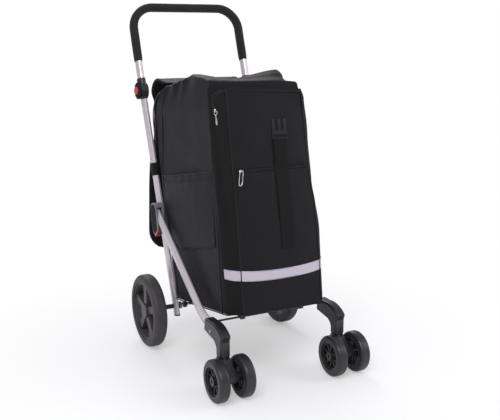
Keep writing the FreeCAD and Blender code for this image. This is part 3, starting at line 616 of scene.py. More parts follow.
def add_tube(built: Build, points: Sequence[Vector], radius: float, sides: int = 8,
             looped: bool = False) -> None:
    """Add a round tube along points.

    Args:
        built: The mesh to add to.
        points: Centre line.
        radius: Radius in metres.
        sides: Corners round the section.
        looped: Whether the tube joins its own end.
    """
    rows: Rows = []
    count = len(points)
    across = Vector((0, 0, 0))
    for index, point in enumerate(points):
        before = points[index - 1] if index or looped else point
        after = points[(index + 1) % count] if index < count - 1 or looped else point
        way = (after - before).normalized()
        if across.length < 0.5:
            helper = Vector((0, 0, 1)) if abs(way.z) < 0.9 else Vector((1, 0, 0))
            across = way.cross(helper).normalized()
        across = (across - way * across.dot(way)).normalized()
        up = way.cross(across)
        ring = []
        for step in range(sides):
            turn = 2 * math.pi * step / sides
            ring.append(point + (across * math.cos(turn) + up * math.sin(turn)) * radius)
        rows.append(ring)
    if looped:
        rows.append(rows[0])
    add_rows(built, rows, True, not looped)


def add_bead(built: Build, centre: Vector, radius: float, shape: Colour) -> None:
    """Add a ball drawn out along the axes.

    Args:
        built: The mesh to add to, still empty.
        centre: The ball's centre.
        radius: Its radius in metres before it is drawn out.
        shape: Stretch along x, y and z.
    """
    bmesh.ops.create_uvsphere(built, u_segments=20, v_segments=12, radius=radius)
    bmesh.ops.scale(built, vec=shape, verts=built.verts)
    bmesh.ops.translate(built, vec=centre, verts=built.verts)


def add_stitches(built: Build, points: Sequence[Vector], pitch: float = 0.0036,
                 length: float = 0.0025, radius: float = 0.00038) -> None:
    """Add a row of raised thread stitches along a line.

    Args:
        built: The mesh to add to.
        points: The line that the needle follows.
        pitch: Distance from one stitch to the next.
        length: Length of a stitch.
        radius: Radius of the thread.
    """
    reach = 0.0
    for start, end in zip(points, points[1:]):
        run = end - start
        if run.length < 1e-6:
            continue
        way = run.normalized()
        while reach < run.length:
            first = start + way * reach
            last = start + way * min(reach + length, run.length)
            if (last - first).length > length * 0.5:
                add_tube(built, [first, first.lerp(last, 0.5), last], radius, 5)
            reach += pitch
        reach -= run.length


def thicken(piece: Piece, thickness: float, offset: float = -1.0, levels: int = 1) -> None:
    """Turn a skin into cloth of a thickness and smooth it, all applied to the mesh.

    Args:
        piece: The skin.
        thickness: Thickness in metres.
        offset: -1 puts it all inside the skin, 1 outside.
        levels: Subdivision levels.
    """
    if thickness:
        solid = piece.modifiers.new("cloth", "SOLIDIFY")
        solid.thickness = thickness
        solid.offset = offset
        solid.use_even_offset = False
    if levels:
        fine = piece.modifiers.new("fine", "SUBSURF")
        fine.levels = fine.render_levels = levels
    view = bpy.context.evaluated_depsgraph_get()
    mesh = bpy.data.meshes.new_from_object(piece.evaluated_get(view))
    piece.modifiers.clear()
    piece.data = mesh
    smooth(mesh)


# ------------------------------------------------------------------ bag


@dataclass(frozen=True)
class Level:
    """One of the three slanted levels that the bag's cloth is cut to, in millimetres."""

    height: float
    slope: float
    rear: float
    front: float
    half_width: float
    pocket_depth: float


@dataclass
class BagCut:
    """The bag's pattern: its three levels, and how its cloth moves with the frame."""

    floor: Level = Level(127.5, math.tan(math.radians(9.0)), -22.0, -352.0, 136.0, 32.0)
    waist: Level = Level(405.0, 0.13, 44.0, -322.0, 142.0, 22.0)
    top: Level = Level(716.0, 0.07, 58.0, -278.0, 147.0, 9.0)
    waist_share: float = 0.45
    corner: float = 14.0
    pocket_half: float = 110.0
    bunched: float = 0.45
    sewn: float = 713.0
    edge_draw: Table = ((0.30, 0.0), (0.42, 3.0), (0.53, 9.0), (0.62, 13.0), (1.0, 13.0))
    wall_draw: Table = (
        (0.0, 2.0), (0.30, 4.0), (0.53, 22.0), (0.75, 28.0), (0.94, 34.0), (1.0, 46.0))

    def share_of(self, level: Level) -> float:
        """Share of the bag's height that a level stands for."""
        if level.height < self.waist.height:
            risen = level.height - self.floor.height
            return self.waist_share * risen / (self.waist.height - self.floor.height)
        part = (level.height - self.waist.height) / (self.top.height - self.waist.height)
        return self.waist_share + (1 - self.waist_share) * part

    def drawn(self, x: float, y: float, share: float) -> float:
        """Place across after the bag's right front corner is drawn in, in millimetres.

        Args:
            x: Place across on the flat pattern.
            y: Place along.
            share: Share of the bag's height.

        Returns:
            The place across that the cloth takes.
        """
        if x <= 0:
            return x
        edge, wall = along_table(self.edge_draw, share), along_table(self.wall_draw, share)
        amount = edge * ease(45.0, self.pocket_half, x) + (wall - edge) * ease(self.pocket_half, 138.0, x)
        return x - amount * ease(-90.0, -255.0, y)

    def between(self, share: float) -> Level:
        """Level at a share of the bag's height, 0 at the floor and 1 at the rim."""
        if share < self.waist_share:
            low, high, part = self.floor, self.waist, share / self.waist_share
        else:
            low, high = self.waist, self.top
            part = (share - self.waist_share) / (1 - self.waist_share)
        mixed = [a + (b - a) * part for a, b in zip(vars(low).values(), vars(high).values())]
        return Level(*mixed)

    def share_at(self, height: float, y: float) -> float:
        """Share of the bag's height at a point of the front, by halving."""
        low, high = 0.0, 1.0
        for _ in range(24):
            middle = (low + high) / 2
            level = self.between(middle)
            if level.height - level.slope * y < height:
                low = middle
            else:
                high = middle
        return (low + high) / 2

    def outline(self, level: Level, inset: float = 0.0, steps: int = 26) -> Ring:
        """Rounded rectangle round the bag at a level.

        Args:
            level: The level to cut at.
            inset: Distance inside the outer face, in millimetres.
            steps: Points along each side.

        Returns:
            Point, outward direction and place round the bag (0 at the right rear corner,
            1 right front, 2 left front, 3 left rear) for each point.
        """
        rear, front, half = level.rear - inset, level.front + inset, level.half_width - inset
        radius = max(self.corner - inset, 3.0)
        corners = [(half, rear), (half, front), (-half, front), (-half, rear)]
        found: Ring = []
        for index in range(4):
            here, following = Vector(corners[index]), Vector(corners[(index + 1) % 4])
            before = Vector(corners[index - 1])
            into, out = (here - before).normalized(), (following - here).normalized()
            centre = here - into * radius + out * radius
            for step in range(4):
                turn = (step + 0.5) / 4 * math.pi / 2
                outward = -out * math.cos(turn) + into * math.sin(turn)
                place = centre + outward * radius
                found.append((place, outward, index + (step - 1.5) * 0.01))
            start, end = here + out * radius, following - out * radius
            for step in range(steps + 1):
                part = step / steps
                found.append((start.lerp(end, part), into.copy(), index + 0.03 + 0.94 * part))
        share = self.share_of(level)
        return [(Vector((self.drawn(p.x, p.y, share), p.y, level.height - level.slope * p.y)),
                 Vector((o.x, o.y, 0.0)), s) for p, o, s in found]

    def front_y(self, height: float) -> float:
        """Y of the front pocket's flat face at a height, in millimetres."""
        y = self.waist.front
        for _ in range(6):
            level = self.between(self.share_at(height, y))
            y = level.front - 0.3 - level.pocket_depth
        return y

    def settle(self, piece: Piece, slot: str, *nodes: str, body: str = "rear_frame") -> None:
        """Hang a piece of the bag on a body and give it a mesh of its own.

        Args:
            piece: The finished piece.
            slot: Not used.
            *nodes: Frame nodes that it stands for.
            body: Name of the body that carries it.
        """
        hang(piece, body, slot, *nodes)
        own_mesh(piece)

    def sew(self, name: str, built: Build, finish: Finish, *nodes: str, slot: str = "webbing",
            body: str = "rear_frame") -> None:
        """Make a small piece of the bag from a bmesh and settle it.

        Args:
            name: The piece's name.
            built: Its mesh data.
            finish: Its finish.
            *nodes: Frame nodes that it stands for.
            slot: Not used.
            body: Name of the body that carries it.
        """
        self.settle(dress(from_bmesh(name, built), finish), slot, *nodes, body=body)


CUT = BagCut()


@dataclass
class BagBody:
    """Tall cloth bag with a gathered hem round its mouth."""

    rows: int = 66
    cloth: float = 0.0022
    hem: float = 0.955
    rear_bulge: float = 24.0
    billow: float = 4.0
    fine_billow: float = 1.6
    pulled_in: float = 3.0
    crease: float = 1.2
    gathered_from: float = 0.90
    seam: float = 0.0011
    floor_seam: float = 0.0016
    rim_rise: Table = (
        (0.0, 6.0), (0.15, 18.0), (0.35, 33.0), (0.46, 38.0), (0.56, 29.0), (0.67, 13.0), (0.85, 2.0),
        (1.0, 0.0), (1.4, 6.0), (1.7, 6.0), (1.95, 9.0), (2.07, 14.0), (2.19, 22.0), (2.40, 30.0),
        (2.50, 19.0), (2.56, 16.0), (2.63, 18.0), (2.72, 9.0), (2.86, 4.0), (2.97, -8.0), (3.05, -8.0),
        (3.25, -4.0), (3.6, -8.0), (3.85, 0.0), (4.0, 6.0))

    def shaped(self, point: Vector, outward: Vector, place: float, share: float) -> Vector:
        """Move a point of the flat pattern to where the cloth really hangs.

        Args:
            point: Point of the pattern, in millimetres.
            outward: Direction away from the bag.
            place: Place round the bag.
            share: Share of the height.

        Returns:
            The point in metres.
        """
        seed = point * 0.001
        billow = noise.noise(seed * 5.5) * self.billow
        billow += noise.noise(seed * 14.0 + Vector((3, 1, 7))) * self.fine_billow
        front = ease(0.55, 0.9, -outward.y)
        billow = billow * (1 - front) - front * (1.0 + abs(billow) * 0.5)
        side = ease(0.3, 0.9, abs(outward.x))
        bowed = math.sin(math.pi * min(share / self.gathered_from, 1.0))
        billow -= self.pulled_in * bowed * side * (1 - abs(2 * (place % 1) - 1) ** 2)
        crease = math.sin(seed.z * 60 + noise.noise(seed * 4) * 5) * ease(0.25, 0.0, share) * self.crease
        gather_zone = ease(self.gathered_from, 1.0, share)
        corner = max(0.0, 1 - abs(place - 2.62) / 0.5, 1 - abs(place) / 0.4, 1 - abs(place - 4.0) / 0.4)
        strength = 0.8 + 6.5 * corner * side + 1.5 * (1 - side) * ease(2.9, 3.1, place)
        wander = 4.0 * noise.noise(Vector((place * 2.2, share * 2.0, 0.0)))
        gathers = math.sin(place * 26.0 + wander) * strength * gather_zone
        gathers += 1.2 * math.sin(place * 61.0 + wander) * corner * ease(0.94, 1.0, share)
        hem = 1.2 * ease(self.hem - 0.010, self.hem + 0.006, share) * (1 - 0.6 * front)
        lean = -ease(0.88, 1.0, share) * (7.0 + 11.0 * corner * side)
        moved = point + outward * (billow * (1 - 0.5 * gather_zone) + crease + gathers + hem + lean)
        upper = ease(420.0, 560.0, moved.z) * ease(715.0, 650.0, moved.z)
        moved.y += self.rear_bulge * upper * ease(-60.0, 50.0, moved.y)
        rise = along_table(self.rim_rise, place % 4) * ease(0.86, 1.0, share)
        ripple = 2.2 * math.sin(place * 39.0 + wander) * corner * gather_zone
        return spot(moved.x, moved.y, moved.z + rise + ripple)

    def skin_rows(self) -> Rows:
        """Rows of points over the floor and up the walls."""
        rows: Rows = []
        floor = CUT.outline(CUT.floor)
        middle = Vector((0.0, (CUT.floor.rear + CUT.floor.front) / 2, 0.0))
        for shrink in (0.06, 0.3, 0.55, 0.8, 0.95):
            row = []
            for point, _, _ in floor:
                x, y = point.x * shrink, middle.y + (point.y - middle.y) * shrink
                row.append(spot(x, y, CUT.floor.height - CUT.floor.slope * y + 0.3))
            rows.append(row)
        for index in range(self.rows + 1):
            share = index / self.rows
            rows.append([self.shaped(p, o, s, share) for p, o, s in CUT.outline(CUT.between(share))])
        return rows

    def seam_points(self, place: float, low: float, high: float, lift: float,
                    count: int = 60) -> list[Vector]:
        """Points up one of the bag's corners, just outside the cloth.

        Args:
            place: Place round the bag.
            low: Lowest share of the height.
            high: Highest share.
            lift: Distance outside, in millimetres.
            count: Number of points.

        Returns:
            Points from low to high.
        """
        found = []
        for index in range(count + 1):
            share = low + (high - low) * index / count
            ring = CUT.outline(CUT.between(share), -lift)
            point, outward, around = min(ring, key=lambda entry: abs(entry[2] - place))
            found.append(self.shaped(point, outward, around, share))
        return found

    def ring_points(self, share: float, lift: float) -> list[Vector]:
        """Points round the bag at a share of its height, just outside the cloth."""
        ring = CUT.outline(CUT.between(share), -lift, 60)
        return [self.shaped(p, o, s, share) for p, o, s in ring]

    def build(self) -> None:
        """Make the bag, its corner piping and the stitching of the hem."""
        body = skin("bag_body", self.skin_rows(), True, True)
        body.data.materials.append(Finish.CLOTH.made())
        body.data.materials.append(Finish.LINING.made())
        solid = body.modifiers.new("lining", "SOLIDIFY")
        solid.thickness = self.cloth
        solid.offset = -1.0
        solid.material_offset = 1
        thicken(body, 0.0)
        CUT.settle(body, "bag_cloth", "bag_shell")
        piping = bmesh.new()
        for place in ((0.14, 0.05), (2.86, 2.95)):
            low = self.seam_points(place[1], 0.02, 0.6, 0.5)
            high = self.seam_points(place[0], 0.9, 0.95, 0.5, 6)
            add_tube(piping, low + high, self.seam)
        add_tube(piping, self.ring_points(0.0, 0.6), self.floor_seam, 8, True)
        CUT.sew("bag_piping", piping, Finish.PIPING)
        thread = bmesh.new()
        for share in (self.hem - 0.006, self.hem - 0.016):
            ring = self.ring_points(share, 0.35)
            add_stitches(thread, ring + ring[:1])
        CUT.sew("hem_stitches", thread, Finish.THREAD)
        LOG.info("bag body, piping and hem stitches built")


@dataclass
class FrontPocket:
    """Padded pocket over the bag's front; its side bands wrap round the bag's corners."""

    rows: int = 72
    zip_height: float = 530.0
    side_steps: int = 12
    front_steps: int = 40
    wrap: Table = ((0.0, 29.0), (0.5, 20.0), (0.9, 9.0), (1.0, 6.0))
    top_share: float = 0.974
    top_drop: float = 11.0
    lowest: float = 194.0
    highest: float = 714.5
    uneven: float = 4.5
    edge_seam: float = 0.0014
    side_seam: float = 0.0016
    top_seam: float = 0.0013
    stitched: Table = ((711.0, 1.0), (540.0, 0.0), (519.0, 0.0))

    def front_offset(self, x: float, height: float) -> float:
        """How far the face stands out from its flat pattern, in millimetres.

        Args:
            x: Distance from the middle.
            height: Height above the floor.

        Returns:
            Distance towards the front.
        """
        straight = ease(20.0, 9.0, abs(height - self.zip_height))
        across = max(0.0, 1 - (abs(x) / CUT.pocket_half) ** 3) * (1 - straight)
        across += 0.6 * straight * ease(CUT.pocket_half, CUT.pocket_half - 9.0, abs(x))
        upright = ease(190.0, 300.0, height) * ease(712.0, 620.0, height)
        belly = 4.0 * ease(520.0, 400.0, height)
        swell = across * (1.0 + (3.5 + belly) * upright)
        dip = 2.6 * math.exp(-((height - self.zip_height) / 9.0) ** 2) * across
        lip = 1.8 * ease(self.zip_height - 2, self.zip_height + 8, height) * across
        seed = Vector((x * 0.001, 0.0, height * 0.001))
        drift = (noise.noise(seed * 9) * 2.0 + noise.noise(seed * 24) * 0.8) * (1 - straight)
        sag = 1.4 * math.sin(x * 0.028 + height * 0.004) * ease(620.0, 700.0, height)
        return swell - dip + lip + (drift + sag) * across

    def band(self, share: float, part: float) -> tuple[float, float, Vector]:
        """Point of the side band, which bends round the bag's corner.

        Args:
            share: Share of the bag's height.
            part: 0 at the seam on the bag's side, 1 at the pocket's front edge.

        Returns:
            Place across, place along and the outward direction.
        """
        level = CUT.between(share)
        half, front = level.half_width, level.front
        points = (Vector((half + 0.7, front + along_table(self.wrap, share))),
                  Vector((half + 4.0, front - 6.0)),
                  Vector((CUT.pocket_half, front - 0.6 - level.pocket_depth)))
        first, second = points[0].lerp(points[1], part), points[1].lerp(points[2], part)
        place, way = first.lerp(second, part), (second - first).normalized()
        return place.x, place.y, Vector((-way.y, way.x))

    def band_length(self, share: float) -> float:
        """Length round the side band, in millimetres."""
        dots = [Vector(self.band(share, index / 6)[:2]) for index in range(7)]
        return sum((after - before).length for before, after in zip(dots, dots[1:]))

    def drop(self, x: float, share: float) -> float:
        """How far the pocket's top edge hangs down at a place across, in millimetres."""
        return self.top_drop * ease(-140.0, 120.0, x) * ease(0.80, self.top_share, share)

    def ring(self, share: float) -> list[Vector]:
        """Closed ring round the pocket at a share of the bag's height, in metres."""
        level = CUT.between(share)
        front = level.front - 0.6 - level.pocket_depth
        found: list[Vector] = []

        def put(x: float, y: float) -> None:
            """Add one point at the level's slanted height."""
            found.append(spot(x, y, level.height - level.slope * y - self.drop(x, share)))

        for side in (1, -1):
            steps = range(self.side_steps)
            for step in (steps if side > 0 else reversed(steps)):
                x, y, _ = self.band(share, step / self.side_steps)
                put(CUT.drawn(side * x, y, share), y)
            if side > 0:
                for step in range(self.front_steps + 1):
                    x = CUT.pocket_half * (1 - 2 * step / self.front_steps)
                    out = self.front_offset(x, level.height - level.slope * front)
                    put(CUT.drawn(x, front, share), front - out)
        return found

    def surface(self, x: float, height: float, lift: float) -> Vector:
        """Point on the pocket's front or side band, raised by a lift.

        Args:
            x: Distance from the middle in millimetres; beyond the front's edge it is counted
                round the side band.
            height: Height above the floor.
            lift: Distance outside the cloth.

        Returns:
            The point in metres.
        """
        y = CUT.front_y(height)
        if abs(x) <= CUT.pocket_half:
            across = CUT.drawn(x, y, CUT.share_at(height, y))
            return spot(across, y - self.front_offset(x, height) - lift, height)
        side = math.copysign(1.0, x)
        for _ in range(3):
            share = CUT.share_at(height, y)
            part = 1 - min((abs(x) - CUT.pocket_half) / self.band_length(share), 1.0)
            across, y, away = self.band(share, part)
        across = CUT.drawn(side * across, y, share) + side * away.x * lift
        return spot(across, y + away.y * lift, height)

    def build(self) -> None:
        """Make the pocket, the piping on its edges and its stitching."""
        rows = [self.ring(0.0)]
        middle = sum(rows[0], Vector()) / len(rows[0])
        rows = [[middle.lerp(p, shrink) for p in rows[0]] for shrink in (0.5, 0.85)] + rows
        rows += [self.ring(index / self.rows) for index in range(1, self.rows)]
        last = self.ring(self.top_share)
        middle = sum(last, Vector()) / len(last)
        rows += [last] + [[middle.lerp(p, shrink) for p in last] for shrink in (0.9, 0.5)]
        pocket = skin("front_pocket_cloth", rows, True, True)
        dress(pocket, Finish.CLOTH)
        pocket.data.materials.append(Finish.BAND.made())
        steps = 2 * self.side_steps + self.front_steps + 1
        for face in pocket.data.polygons:
            column = face.index % steps
            face.material_index = int(not self.side_steps - 1 < column < self.side_steps + self.front_steps)
        thicken(pocket, 0.0)
        CUT.settle(pocket, "bag_cloth", "front_pocket")
        uprights = {}
        for side in (-1, 1):
            uprights[side] = spread(self.lowest, self.highest - self.uneven * side, 70)
        piping = bmesh.new()
        for side in (-1, 1):
            edge = [self.surface(side * CUT.pocket_half, z, 0.6) for z in uprights[side]]
            add_tube(piping, edge, self.edge_seam)
            seam = []
            for index in range(61):
                share = self.top_share * index / 60
                x, y, away = self.band(share, 0.0)
                level = CUT.between(share)
                across = CUT.drawn(side * x, y, share) + side * away.x * 0.3
                height = level.height - level.slope * y - self.drop(across, share)
                seam.append(spot(across, y + away.y * 0.3, height))
            add_tube(piping, seam, self.side_seam)
        lines = [CUT.pocket_half * (index / 20 - 1) for index in range(41)]
        top = self.highest + self.uneven
        add_tube(piping, [self.surface(x, top - self.drop(x, 1.0), 0.2) for x in lines], self.top_seam)
        CUT.sew("pocket_piping", piping, Finish.PIPING)
        thread = bmesh.new()
        for side in (-1, 1):
            inner = side * (CUT.pocket_half - 5)
            add_stitches(thread, [self.surface(inner, z, 0.25) for z in uprights[side][:-2]])
        for height, share in self.stitched:
            add_stitches(thread, [self.surface(x * 0.95, height - self.drop(x, share), 0.3) for x in lines])
        CUT.sew("pocket_stitches", thread, Finish.THREAD)
        LOG.info("front pocket, piping and stitches built")


POCKET = FrontPocket()


@dataclass
class Trim:
    """Strap, zip, stripe and buckle sewn on the front pocket."""

    strap_offset: float = 20.0
    strap_width: float = 38.0
    strap_low: float = 338.0
    strap_high: float = 600.0
    stripe_height: float = 284.0
    stripe_width: float = 25.0
    zip_half: float = 104.0
    tape_half: float = 6.0
    teeth: int = 130
    slider_place: float = -91.0
    margin: float = 4.0
    sewn_height: float = 34.0
    loop_half: tuple[float, float] = (0.0058, 0.0175)
    corner_route: Table = (
        (1.0, 718.0), (9.0, 715.0), (18.0, 709.0), (24.5, 700.0), (26.5, 690.0), (24.5, 680.0), (22.0, 672.0))
    rod_length: float = 0.024
    rod_lean: float = 0.003
    rod_widths: tuple[float, ...] = (1.0, 1.1, 1.2, 1.3, 1.5, 1.7, 1.9, 2.1, 2.3, 2.4, 2.3, 1.8, 0.8)
    ring_half: tuple[float, float] = (0.0036, 0.0046)

    def strip(self, name: str, lines: Sequence[float], ups: Sequence[float],
              lift: Callable[[float, float], float], thickness: float) -> Piece:
        """Flat strip laid on the pocket.

        Args:
            name: The piece's name.
            lines: Places across the pocket, in millimetres.
            ups: Heights, in millimetres.
            lift: Height of the strip's outer face over the cloth, from place and height.
            thickness: Thickness in metres.

        Returns:
            The strip, thickened.
        """
        rows = [[POCKET.surface(x, z, lift(x, z)) for x in lines] for z in ups]
        piece = skin(name, rows, False)
        outward = piece.data.polygons[0].normal
        thicken(piece, thickness, -1.0 if outward.y < 0 else 1.0)
        return piece

    def strap(self) -> None:
        """Webbing strap with its sewn lower end and box stitching."""
        left, right = self.strap_offset - self.strap_width / 2, self.strap_offset + self.strap_width / 2
        lines, ups = spread(left, right, 10), spread(self.strap_low, self.strap_high, 48)

        def lift(x: float, height: float) -> float:
            """The strap lies flat where it is sewn and rises to the buckle."""
            level = 2.0 + 1.4 * ease(380, 440, height) + 1.6 * ease(575, 600, height)
            wave = 0.5 * math.sin(height * 0.045)
            return level + wave * ease(370, 420, height)

        strap = dress(self.strip("strap", lines, ups, lift, 0.0016), Finish.WEBBING)
        CUT.settle(strap, "webbing", "strap_webbing")
        thread = bmesh.new()
        low, high = self.strap_low + self.margin, self.strap_low + self.sewn_height
        left, right = left + self.margin, right - self.margin
        box = [(left, low), (right, low), (right, high), (left, high), (left, low), (right, high),
               (right, low), (left, high)]
        dense: list[Vector] = []
        for (x0, z0), (x1, z1) in zip(box, box[1:]):
            for step in range(12):
                part = step / 12
                x, z = x0 + (x1 - x0) * part, z0 + (z1 - z0) * part
                dense.append(POCKET.surface(x, z, lift(x, z) + 0.15))
        add_stitches(thread, dense, 0.003, 0.0021, 0.0004)
        CUT.sew("strap_stitches", thread, Finish.THREAD)
        LOG.info("strap built")

    def buckle(self) -> None:
        """Buckle of the frame's own shape, hung on the rear frame with the strap."""
        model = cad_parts["buckle"]
        piece = bpy.data.objects.new("strap_buckle", model.data.copy())
        piece.matrix_world = model.matrix_world.copy()
        bpy.context.scene.collection.objects.link(piece)
        CUT.settle(dress(piece, Finish.BUCKLE), "knuckle_black", "buckle")

    def sag(self, x: float) -> float:
        """How far the stripe hangs down at a place across the pocket, in millimetres."""
        return 5.5 * max(0.0, 1 - (x / CUT.pocket_half) ** 2)

    def stripe(self) -> None:
        """Reflective tape round the pocket's front and slanted sides."""
        reach = CUT.pocket_half + 44.0
        lines = spread(-reach, reach, 84)
        half = self.stripe_width / 2
        ups = spread(self.stripe_height - half, self.stripe_height + half, 6)
        rows = [[POCKET.surface(x, z - self.sag(x), 0.9) for x in lines] for z in ups]
        tape = skin("reflective_tape", rows, False)
        middle = tape.data.polygons[len(lines) // 2]
        thicken(tape, 0.0005, -1.0 if middle.normal.y < 0 else 1.0)
        dress(tape, Finish.STRIPE)
        CUT.settle(tape, "stripe", "reflective_stripe")
        thread = bmesh.new()
        for height in (self.stripe_height - half + 1.6, self.stripe_height + half - 1.6):
            add_stitches(thread, [POCKET.surface(x, height - self.sag(x), 1.0) for x in lines])
        CUT.sew("stripe_stitches", thread, Finish.THREAD)
        LOG.info("reflective stripe built")

    def cross_zip(self) -> None:
        """Zip tape and its teeth across the pocket."""
        height = POCKET.zip_height
        tape_half = self.tape_half
        lines = spread(-self.zip_half, self.zip_half, 52)
        ups = spread(height - tape_half, height + tape_half, 6)

        def lift(x: float, z: float) -> float:
            """The tape's edges are tucked under the cloth."""
            return 1.1 - 0.5 * abs(z - height) / tape_half

        tape = dress(self.strip("zip_tape", lines, ups, lift, 0.0006), Finish.WEBBING)
        CUT.settle(tape, "webbing", "lower_zip")
        teeth = bmesh.new()
        for index in range(self.teeth):
            x = -self.zip_half + 4 + (2 * self.zip_half - 8) * index / (self.teeth - 1)
            shift = 1.0 if index % 2 else -1.0
            start = POCKET.surface(x, height + shift * 0.3, 1.5)
            end = POCKET.surface(x, height + shift * 2.4, 1.5)
            add_tube(teeth, [start, end], 0.00055, 6)
        CUT.sew("zip_teeth", teeth, Finish.TEETH)
        LOG.info("cross zip built")

    def cross_slider(self) -> None:
        """Slider of the cross zip with its open, slightly tilted loop."""
        head = POCKET.surface(self.slider_place, POCKET.zip_height, 3.6)
        built = bmesh.new()
        add_bead(built, head, 0.0042, (1.35, 0.6, 0.95))
        bridge = []
        for step in range(9):
            bow = -0.0034 * math.sin(math.pi * step / 8) - 0.001
            bridge.append(head + Vector((-0.0034 + 0.0068 * step / 8, bow, 0)))
        add_tube(built, bridge, 0.0009)
        loop = []
        half_wide, half_tall = self.loop_half
        for index in range(40):
            turn = 2 * math.pi * index / 40
            wide, tall = half_wide * math.sin(turn), half_tall * math.cos(turn)
            wide *= 1.0 + 0.25 * math.cos(2 * turn)
            drop = tall - half_tall
            loop.append(head + Vector((wide + 0.20 * drop, 0.19 * drop - 0.0040, tall - 0.0155)))
        add_tube(built, loop, 0.0013, 8, True)
        CUT.sew("cross_zip_slider", built, Finish.PULLER, "lower_zip_slider", slot="zip_metal",
                body="zip_slider")
        LOG.info("cross zip slider built")

    def corner_zip(self) -> None:
        """Curved zip on the left side band."""
        route = self.corner_route
        tape = bmesh.new()
        for shift, radius in ((-3.4, 0.0012), (3.4, 0.0012)):
            line = [POCKET.surface(-CUT.pocket_half - run - shift, z + shift * 0.4, 0.7)
                    for run, z in route]
            add_tube(tape, line, radius)
        CUT.sew("corner_zip_welts", tape, Finish.PIPING)
        teeth = bmesh.new()
        for start, end in zip(route, route[1:]):
            for step in range(7):
                part = step / 7
                run, z = start[0] + (end[0] - start[0]) * part, start[1] + (end[1] - start[1]) * part
                across = Vector((end[1] - start[1], start[0] - end[0])).normalized() * 2.0
                side = 1 if step % 2 else -1
                first = POCKET.surface(-CUT.pocket_half - run, z, 1.0)
                last = POCKET.surface(-CUT.pocket_half - run - across.x * side, z + across.y * side, 1.0)
                add_tube(teeth, [first, last], 0.0006, 6)
        CUT.sew("corner_zip_teeth", teeth, Finish.TEETH, "upper_zip")
        LOG.info("corner zip built")

    def corner_puller(self) -> None:
        """Slider at the lower end of the corner zip, with its ring and hanging rod."""
        slider = bmesh.new()
        run, height = self.corner_route[-1]
        head = POCKET.surface(-CUT.pocket_half - run, height, 2.4)
        add_bead(slider, head, 0.0034, (0.8, 0.75, 1.35))
        CUT.sew("corner_zip_slider", slider, Finish.PULLER, slot="zip_metal")
        pull = bmesh.new()
        centre = head + Vector((0, -0.0045, -0.0055))
        wide, tall = self.ring_half
        ring = []
        for index in range(24):
            turn = 2 * math.pi * index / 24
            ring.append(centre + Vector((wide * math.cos(turn), 0, tall * math.sin(turn))))
        add_tube(pull, ring, 0.0008, 8, True)
        rows = []
        for index, width in enumerate(self.rod_widths):
            point = centre + Vector((self.rod_lean * index / 12, 0, -tall - self.rod_length * index / 12))
            row = []
            for step in range(10):
                turn = 2 * math.pi * step / 10
                row.append(point + Vector((width * math.cos(turn), 0.9 * math.sin(turn), 0)) * 0.001)
            rows.append(row)
        add_rows(pull, rows, True, True)
        CUT.sew("corner_zip_puller", pull, Finish.PULLER, "upper_zip_puller", slot="zip_metal",
                body="zip_puller")
        LOG.info("corner zip puller built")

    def build(self) -> None:
        """Make all the trim."""
        self.strap()
        self.buckle()
        self.stripe()
        self.cross_zip()
        self.cross_slider()
        self.corner_zip()
        self.corner_puller()


